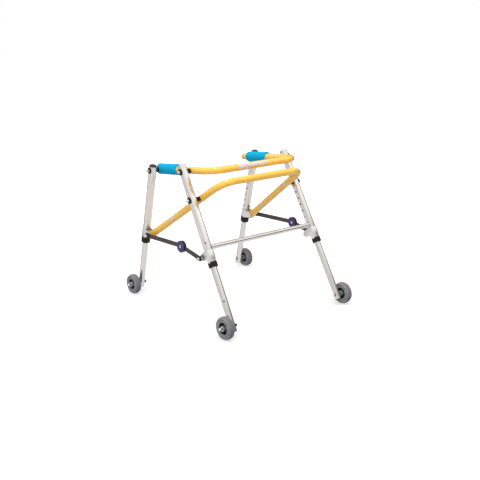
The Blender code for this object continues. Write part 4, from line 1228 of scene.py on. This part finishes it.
def hex_nut(name, corner, height):
    """A six-sided nut along z from 0 to its height, with chamfered corners."""
    flat = corner * NUT_FLAT_SHARE
    mesh = prism_mesh(name, [circle(corner, NUT_SIDES)], height, middle=height / 2)
    drop = (corner - flat) * CHAMFER_SHARE
    outer = corner + GAP
    cone = [(0.0, height), (flat, height), (outer, height - drop), (outer, 0.0), (0.0, 0.0)]
    return carved(mesh, [("INTERSECT", turned("chamfer", cone), IN_PLACE)])


def make_axle(end, word):
    """The shouldered bolt of a wheel, with a washer and a cap outside, and a nut and its tip inside."""
    side = SIDES[word]
    body = f"{end}_extension_{word}"
    centre = axle_place(end, side)
    place = at((0.0, centre.y, centre.z), outward(side))
    leg_x = abs(centre.x)
    leg_inner = leg_x - SLIDE_RADIUS - GAP
    leg_outer = leg_x + SLIDE_RADIUS + GAP
    hub_inner = WHEEL_X - HUB_HALF_WIDTH - GAP
    hub_outer = WHEEL_X + HUB_HALF_WIDTH + GAP
    cap_start = hub_outer + AXLE_WASHER_THICK
    cap_end = cap_start + AXLE_CAP_LENGTH
    shade_end = cap_start + AXLE_CAP_LENGTH * AXLE_SHADE_SHARE
    cap_base = cap_end - AXLE_CAP_LENGTH * AXLE_CAP_SHARE
    profile = [(0.0, cap_start), (AXLE_RADIUS, cap_start), (AXLE_RADIUS, hub_inner)]
    profile += band(AXLE_RADIUS, AXLE_SHOULDER, hub_inner, leg_outer)[1:]
    profile += [(AXLE_RADIUS, leg_inner), (0.0, leg_inner)]
    ending = f"{end}_{word}"
    add_mould(f"axle_shaft_{ending}", profile, "nut_steel", body, place, (f"axle_{ending}",))
    profile = band(AXLE_RADIUS, AXLE_WASHER_RADIUS, cap_start, hub_outer)
    add_mould(f"axle_washer_{ending}", profile, "pale_zinc", body, place, closed=True)
    # Painted shade: a black ring between the washer and the cap.
    profile = band(0.0, AXLE_SHADE_RADIUS, shade_end, cap_start)
    add_mould(f"axle_seal_{ending}", profile, "black_plastic", body, place)
    profile = band(0.0, AXLE_STUD_RADIUS, cap_base, shade_end)
    add_mould(f"axle_stud_{ending}", profile, "pale_zinc", body, place)
    profile = dome(AXLE_CAP_RADIUS, cap_end - AXLE_CAP_RADIUS, AXLE_CAP_RADIUS)
    profile += [(AXLE_CAP_RADIUS, cap_base + MOULD_EDGE), (AXLE_CAP_RADIUS - MOULD_EDGE, cap_base)]
    add_turned(f"axle_cap_{ending}", profile + [(0.0, cap_base)], "ivory_cap", body, place)
    name = f"axle_nut_{ending}"
    nut_length = AXLE_NUT_LENGTH - AXLE_TIP
    inward = place @ at((0.0, 0.0, leg_inner), Matrix.Rotation(pi, 4, "X"))
    add_piece(name, hex_nut(name, AXLE_SHOULDER, nut_length), "blue_zinc", body, inward)
    profile = dome(AXLE_SHOULDER - MOULD_EDGE, nut_length, 2 * AXLE_TIP) + [(0.0, nut_length)]
    # Painted shade: the tips on the left side are black, where they lie in shade; those on the right are
    # ivory.
    look = "ivory_cap" if side > 0 else "black_plastic"
    add_turned(f"axle_tip_{ending}", profile, look, body, inward)


# Pivots

WASHER_LIP = 0.0022
WASHER_DISH = 0.0013
HEAD_SHAPE = ((0.0, 0.0), (1.0, 0.0), (1.0, 0.4), (0.7, 0.85), (0.3, 1.0), (0.3, 0.5), (0.0, 0.5))


def acorn(name, length):
    """A domed nut that stands on z = 0."""
    radius = NUT_RADIUS * NUT_FLAT_SHARE - GAP
    crown = dome(radius, NUT_SKIRT, length - NUT_SKIRT) + [(radius, NUT_SKIRT / 2), (0.0, NUT_SKIRT / 2)]
    return carved(hex_nut(name, NUT_RADIUS, NUT_SKIRT), [("UNION", turned("crown", crown), IN_PLACE)])


def add_washer_and_nut(pivot, ending, body, line, start, radius, length):
    """Adds a black moulded washer, hollowed on its outer face, and a domed nut that stands in it."""
    profile = [(PIN_RADIUS, 0.0), (radius, 0.0), (radius, WASHER_THICK), (radius - WASHER_LIP, WASHER_THICK)]
    profile += [(radius - WASHER_LIP - MOULD_EDGE, WASHER_DISH), (PIN_RADIUS, WASHER_DISH)]
    add_mould(f"{pivot}_washer{ending}", profile, "black_plastic", body, line @ lift(start), closed=True)
    name = f"{pivot}_nut{ending}"
    nut = acorn(name, length + WASHER_THICK - WASHER_DISH)
    add_piece(name, nut, "nut_steel", body, line @ lift(start + WASHER_DISH))


def make_pivot(name, body, place, side, inner, washer, node, shoulder=None):
    """A bolt along x: a head inside, and a dished washer and a domed nut outside."""
    line = at((0.0, place.y, place.z), outward(side))
    tip = washer + WASHER_DISH + GAP
    profile = [(0.0, tip), (PIN_RADIUS, tip)]
    if shoulder:
        start, stop = shoulder
        profile += band(PIN_RADIUS, HEAD_RADIUS, stop, start)
    profile += [(PIN_RADIUS, inner), (0.0, inner)]
    add_mould(f"{name}_shank", profile, "nut_steel", body, line, (node,))
    add_washer_and_nut(name, "", body, line, washer, WASHER_RADIUS, NUT_LENGTH)
    if not shoulder:
        head = [(HEAD_RADIUS * reach, -HEAD_HEIGHT * down) for reach, down in HEAD_SHAPE]
        add_mould(f"{name}_head", head, "nut_steel", body, line @ lift(inner))


def make_spacer(name, body, place, side, inner, outer, along, node):
    """A black sleeve between a rail and a leg, hollowed where it bears on the round rail."""
    length = outer - inner + SADDLE_DEPTH
    centre = Vector((side * (outer + inner - SADDLE_DEPTH) / 2, place.y, place.z))
    mesh = prism_mesh(name, [circle(SPACER_RADIUS), circle(PIN_HOLE_RADIUS, SMALL)], length, TUBE_EDGE)
    matrix = at(centre, ALONG_X)
    saddle = prism_mesh("saddle", [circle(RAIL_RADIUS + GAP, FINE)], CUT_THROUGH)
    lie = at(place, along.to_track_quat("Z", "Y").to_matrix().to_4x4())
    mesh = carved(mesh, [cut(saddle, matrix.inverted() @ lie)])
    add_piece(name, mesh, "black_plastic", body, matrix, (node,))


def make_pivots(word):
    side = SIDES[word]
    rail_inside = RAIL_X - RAIL_RADIUS - GAP
    rail_outside = RAIL_X + RAIL_RADIUS + GAP
    for end in ENDS:
        top = leg_top(end, side)
        leg_x = abs(top.x)
        make_pivot(
            f"top_{end}_pivot_{word}", "upper_frame", top, side, rail_inside, leg_x + LEG_RADIUS + GAP,
            f"pivot_bolt_top_{end}_{word}")
        rail_spot = Vector((side * RAIL_X, top.y, top.z))
        make_spacer(
            f"top_{end}_sleeve_{word}", "upper_frame", rail_spot, side, rail_outside,
            leg_x - LEG_RADIUS - GAP, RAIL_BACK, f"spacer_top_{end}_{word}")
    front, middle, arm = lower_arm(side)
    leg_x = abs(on_leg("rear", side, MID_PIVOT_DOWN).x)
    leg_half = LEG_RADIUS + 2 * GAP
    make_pivot(
        f"mid_pivot_{word}", "lower_frame", middle, side, rail_inside - MID_HEAD_BACK, leg_x + leg_half,
        f"pivot_bolt_mid_{word}")
    make_spacer(
        f"mid_sleeve_{word}", "lower_frame", middle, side, rail_outside, leg_x - leg_half, arm,
        f"spacer_mid_{word}")
    ear = FRONT_LEG_X + leg_half
    bar_middle = BRACE_X + side * (BAR_THICK / 2 + GAP)
    near_face = bar_middle - BAR_THICK / 2 - GAP
    far_face = bar_middle + BAR_THICK / 2 + GAP
    make_pivot(
        f"low_pivot_{word}", f"front_leg_{word}", front, side, ear, far_face, f"pivot_bolt_low_{word}",
        (ear + SHEET, near_face))


# Brace

KNOB_FACE_SHARE = 0.4
KNOB_RIVET_RADIUS = 0.0052
KNOB_NOTCHES = 12
NOTCH_RADIUS = 0.0028
NOTCH_OUT = 0.0019
KNOB_RINGS = (0.0088, 0.0096, 0.0112, 0.0120, 0.0152, 0.0160, 0.0178, 0.0186)
KNOB_RING_DEEP = 0.0008
KNOB_STEPS = 72
NOTCH_STEPS = 20
BAR_END_STEPS = 20
HUB_STEPS = 48
GROOVE_END_STEPS = 5
BOLT_DOME_STEPS = 5
ON_PLANE = 0.000001


def bar_mesh(name, length):
    """A bar along x from its pivot to its hub disc, with two grooves on each face."""
    half = BAR_WIDTH / 2
    end_bite = asin(half / BAR_END_RADIUS)
    hub_bite = asin(half / HUB_RADIUS)
    points = arc((0.0, 0.0), BAR_END_RADIUS, end_bite, 2 * pi - end_bite, BAR_END_STEPS)
    points += arc((length, 0.0), HUB_RADIUS, -pi + hub_bite, pi - hub_bite, HUB_STEPS)
    mesh = prism_mesh(name, [points], BAR_THICK, BAR_EDGE)
    stop = length - HUB_RADIUS - GROOVE_END
    outline = rounded_box((stop - GROOVE_START) / 2, GROOVE_WIDE / 2, GROOVE_WIDE / 2, GROOVE_END_STEPS)
    cuts = []
    for face in (-1, 1):
        for row in (-1, 1):
            spot = ((GROOVE_START + stop) / 2, row * BAR_WIDTH * GROOVE_ROW, face * BAR_THICK / 2)
            cuts.append(cut(prism_mesh("groove", [outline], 2 * GROOVE_DEEP), at(spot)))
    return mesh, cuts


def split_across(mesh, x):
    """Cuts a mesh's faces along the plane at x, so that each part can have its own look."""
    work = bmesh.new()
    work.from_mesh(mesh)
    parts = work.verts[:] + work.edges[:] + work.faces[:]
    bmesh.ops.bisect_plane(work, geom=parts, dist=ON_PLANE, plane_co=ACROSS * x, plane_no=ACROSS)
    work.to_mesh(mesh)
    work.free()
    return mesh


def make_bar(name, end, side, x, body, hole, node):
    """A brace bar with a black hub disc."""
    pivot = low_pivot(end, side).yz
    run = Vector(BRACE_HUB) - pivot
    mesh, cuts = bar_mesh(name, run.length)
    cuts.append(bore(hole[1], at((run.length if hole[0] == "hub" else 0.0, 0.0, 0.0))))
    along = run.normalized()
    turn = Matrix(((0, 0, 1), (along.x, -along.y, 0), (along.y, along.x, 0))).to_4x4()
    disc_start = run.length - sqrt(HUB_RADIUS ** 2 - (BAR_WIDTH / 2) ** 2)
    mesh = split_across(carved(mesh, cuts), disc_start)
    bar = add_piece(name, mesh, ["brace_plastic", "black_plastic"], body, at(point(x, pivot), turn), (node,))
    paint(bar, lambda spot: int(spot.x > disc_start))


def knob_profile(top, split, low):
    """A flat knob with raised rings on its face, whose rim has an upper and a lower part."""
    sunk = top - KNOB_RING_DEEP
    profile = [(HUB_PIN_RADIUS + GAP, sunk)]
    for number, radius in enumerate(KNOB_RINGS):
        levels = (top, sunk) if number % 2 else (sunk, top)
        profile += [(radius, levels[0]), (radius + GAP, levels[1])]
    profile += [(KNOB_RADIUS - KNOB_RING_DEEP, top), (KNOB_RADIUS, sunk)]
    return profile + [(KNOB_RADIUS, split), (KNOB_RADIUS, low), (HUB_PIN_RADIUS + GAP, low)]


def make_brace(word):
    """Two bars, the centre bolt, the knob on their left face, and the nut at their rear end."""
    side = SIDES[word]
    centre = side * BRACE_X
    offset = BAR_THICK / 2 + GAP
    front = (f"brace_long_{word}", "front", side, centre + offset, f"brace_front_{word}")
    rear = (f"brace_short_{word}", "rear", side, centre - offset, f"brace_rear_{word}")
    make_bar(*front, ("pivot", PIN_HOLE_RADIUS), f"brace_bar_front_{word}")
    make_bar(*rear, ("hub", HUB_PIN_RADIUS + GAP), f"brace_bar_rear_{word}")
    line = at(point(centre, BRACE_HUB), Matrix.Rotation(-pi / 2, 4, "Y"))
    low = offset + BAR_THICK / 2 + GAP
    top = low + KNOB_THICK[side]
    stop = top + GAP
    profile = dome(KNOB_RIVET_RADIUS, stop, HUB_CAP_HEIGHT[side], BOLT_DOME_STEPS) + [(HUB_PIN_RADIUS, stop)]
    profile += [(HUB_PIN_RADIUS, -offset - MOULD_EDGE), (0.0, -offset - MOULD_EDGE)]
    add_turned(f"brace_centre_bolt_{word}", profile, "nut_steel", f"brace_front_{word}", line)
    name = f"brace_lock_knob_{word}"
    split = top - KNOB_THICK[side] * KNOB_FACE_SHARE
    mesh = turned(name, knob_profile(top, split, low), KNOB_STEPS, True)
    notches = []
    for number in range(KNOB_NOTCHES):
        angle = 2 * pi * number / KNOB_NOTCHES
        reach = KNOB_RADIUS + NOTCH_OUT
        spot = (reach * cos(angle), reach * sin(angle))
        notches.append(cut(prism_mesh("notch", [circle(NOTCH_RADIUS, NOTCH_STEPS, spot)], CUT_THROUGH)))
    mesh = carved(mesh, notches)
    looks = ["purple_plastic", "black_plastic"]
    knob = add_piece(name, mesh, looks, f"brace_knob_{word}", line, (f"brace_knob_{word}",))
    paint(knob, lambda spot: int(spot.z < split - GAP / 3))
    pivot = low_pivot("rear", side)
    face = abs(centre - offset) + BAR_THICK / 2
    line = at((0.0, pivot.y, pivot.z), outward(side))
    body = f"brace_rear_{word}"
    add_washer_and_nut("rear_pivot", f"_{word}", body, line, face, REAR_WASHER_RADIUS, REAR_NUT_LENGTH)


def make_stretcher():
    """The bar between the rear legs, with a sleeve round each of its ends."""
    place = on_leg("rear", 1, STRETCHER_DOWN)
    face = place.x - LEG_RADIUS - 2 * GAP
    sleeve = face - FITTING_LENGTH
    matrix = at((0.0, place.y, place.z), ALONG_X)
    profile = band(0.0, STRETCHER_RADIUS, face, -face)
    add_turned("cross_stretcher", profile, "aluminium", "rear_frame", matrix, ("stretcher",), FINE)
    for word, side in SIDES.items():
        profile = band(STRETCHER_RADIUS, FITTING_RADIUS, side * face, side * sleeve)
        name = f"stretcher_sleeve_{word}"
        add_mould(name, profile, "sheet_steel", "rear_frame", matrix, steps=FINE, closed=True)


# Camera, floor and light

IMAGE_SIZE = 480
FOCAL_PIXELS = 820.365
SENSOR = 36.0
NEAREST = 0.05
FARTHEST = 60.0
CAMERA_PLACE = (-1.84986, -2.34141, 1.11099)
CAMERA_PITCH = 90.0 - 16.4067
CAMERA_TURN = -38.5716
FLOOR_HALF = 14.0
FLOOR_GREY = 0.48
NEAR_GLOW = 0.56
FAR_GLOW = 1.0
GLOW_FROM = 0.55
GLOW_TO = 1.6
WORLD_LEVEL = 0.64
WHITE = (1.0, 1.0, 1.0, 1.0)
SHINE_STOPS = (
    (-1.0, 0.84), (-0.32, 0.84), (-0.20, 0.78), (-0.05, 0.64),
    (0.10, 0.60), (0.40, 0.68), (0.56, 0.88), (1.0, 0.88),
)
SOFTBOX = (Vector((0.60, -0.60, 0.53)), 0.93, 0.985, 0.30)
DARK_CARDS = (
    (Vector((0.98, 0.18, 0.06)), 0.60, 0.70, 0.84, (-0.36, -0.26, 0.46, 0.54)),
    (Vector((0.12, 0.97, -0.23)), 0.82, 0.91, 0.90, (-1.2, -1.1, 1.1, 1.2)),
    (Vector((0.60, -0.76, 0.14)), 0.84, 0.93, 0.95, (-0.20, -0.10, 0.34, 0.45)),
)
LAMPS = (
    ("key", (-0.5, -0.7, 3.2), 2.0, 52.0, False),
    ("fill", (-2.4, -1.4, 1.6), 2.4, 20.0, False),
    ("back", (0.4, 2.8, 2.4), 1.8, 10.0, False),
    ("spark", (-0.45, -0.35, 3.2), 0.5, 17.0, True),
)
LAMP_AIM = Vector((0.0, 0.0, 0.28))


def make_camera():
    data = bpy.data.cameras.new("camera")
    data.sensor_width = SENSOR
    data.lens = SENSOR * FOCAL_PIXELS / IMAGE_SIZE
    data.clip_start = NEAREST
    data.clip_end = FARTHEST
    camera = put("camera", data)
    camera.location = CAMERA_PLACE
    camera.rotation_euler = (radians(CAMERA_PITCH), 0.0, radians(CAMERA_TURN))
    bpy.context.scene.camera = camera


def make_floor():
    """A pale floor that the camera sees as white, apart from the object's soft shadow."""
    material = bpy.data.materials.new("floor")
    net = Net(material)
    reach = net.node("VectorMath", {0: net.node("TexCoord", {})["Object"]}, operation="LENGTH")["Value"]
    glow = net.ramp(reach, GLOW_FROM, GLOW_TO, NEAR_GLOW, FAR_GLOW, soft=True)
    seen = net.node("LightPath", {})["Is Camera Ray"]
    settings = {
        "Base Color": (FLOOR_GREY, FLOOR_GREY, FLOOR_GREY, 1.0),
        "Roughness": 0.9,
        "Specular IOR Level": 0.1,
        "Emission Color": WHITE,
        "Emission Strength": net.math("MULTIPLY", seen, glow),
    }
    for name, value in settings.items():
        net.feed(net.nodes["Principled BSDF"].inputs[name], value)
    work = bmesh.new()
    corners = ((-1, -1), (1, -1), (1, 1), (-1, 1))
    work.faces.new([work.verts.new((x * FLOOR_HALF, y * FLOOR_HALF, 0.0)) for x, y in corners])
    mesh = bpy.data.meshes.new("floor")
    work.to_mesh(mesh)
    work.free()
    mesh.materials.append(material)
    floor = put("floor", mesh)
    floor.visible_glossy = False


def patch_of_sky(net, direction, centre, outer, inner, amount):
    """A soft round patch in the reflections: how much it adds or takes away, by direction."""
    inputs = {0: direction, 1: centre.normalized()}
    level = net.node("VectorMath", inputs, operation="DOT_PRODUCT")["Value"]
    return net.ramp(level, outer, inner, 0.0, amount, soft=True)


def make_world():
    """A white room: white to the camera, plainly lit, with a softbox and dark cards in reflections."""
    world = bpy.data.worlds.new("studio")
    bpy.context.scene.world = world
    net = Net(world)
    light = net.node("LightPath", {})
    direction = net.node("TexCoord", {})["Generated"]
    height = net.node("SeparateXYZ", {0: direction})["Z"]
    ramp = net.nodes.new("ShaderNodeValToRGB")
    stops = ramp.color_ramp.elements
    for place, level in SHINE_STOPS[2:]:
        stops.new((place + 1) / 2)
    for stop, (place, level) in zip(stops, SHINE_STOPS):
        stop.position = (place + 1) / 2
        stop.color = (level, level, level, 1.0)
    net.feed(ramp.inputs["Fac"], net.ramp(height, -1.0, 1.0))
    shine = ramp.outputs["Color"]
    for centre, outer, inner, dark, (low, from_low, to_high, high) in DARK_CARDS:
        above = net.ramp(height, low, from_low, soft=True)
        below = net.ramp(height, to_high, high, 1.0, 0.0, soft=True)
        card = net.math("MULTIPLY", above, below)
        card = net.math("MULTIPLY", card, patch_of_sky(net, direction, centre, outer, inner, -dark))
        shine = net.math("MULTIPLY", shine, net.math("ADD", card, 1.0))
    shine = net.math("ADD", shine, patch_of_sky(net, direction, *SOFTBOX))
    level = net.node("Mix", {"Factor": light["Is Glossy Ray"], "A": WORLD_LEVEL, "B": shine})["Result"]
    plain = net.math("MAXIMUM", light["Is Camera Ray"], light["Is Transmission Ray"])
    background = net.nodes["Background"].inputs
    background["Color"].default_value = WHITE
    net.feed(background["Strength"], net.node("Mix", {"Factor": plain, "A": level, "B": 1.0})["Result"])


def make_lamps():
    for name, place, size, power, shines in LAMPS:
        data = bpy.data.lights.new(name, "AREA")
        data.shape = "DISK"
        data.size = size
        data.energy = power
        lamp = put(name, data)
        lamp.location = place
        lamp.rotation_euler = (LAMP_AIM - Vector(place)).to_track_quat("-Z", "Y").to_euler()
        lamp.visible_glossy = shines


# Build it all

bpy.context.scene.view_settings.view_transform = "Standard"
make_camera()
make_floor()
make_world()
make_lamps()
make_upper_rail()
make_lower_rail()
make_labels()
make_stretcher()
for side_word in SIDES:
    make_grip(side_word)
    make_top_plug(side_word)
    make_pivots(side_word)
    make_brace(side_word)
    for leg_end in ENDS:
        make_leg_tube(leg_end, side_word)
        make_extension(leg_end, side_word)
        make_button(leg_end, side_word)
        make_collar(leg_end, side_word)
        make_bracket(leg_end, side_word)
        make_wheel(leg_end, side_word)
        make_axle(leg_end, side_word)
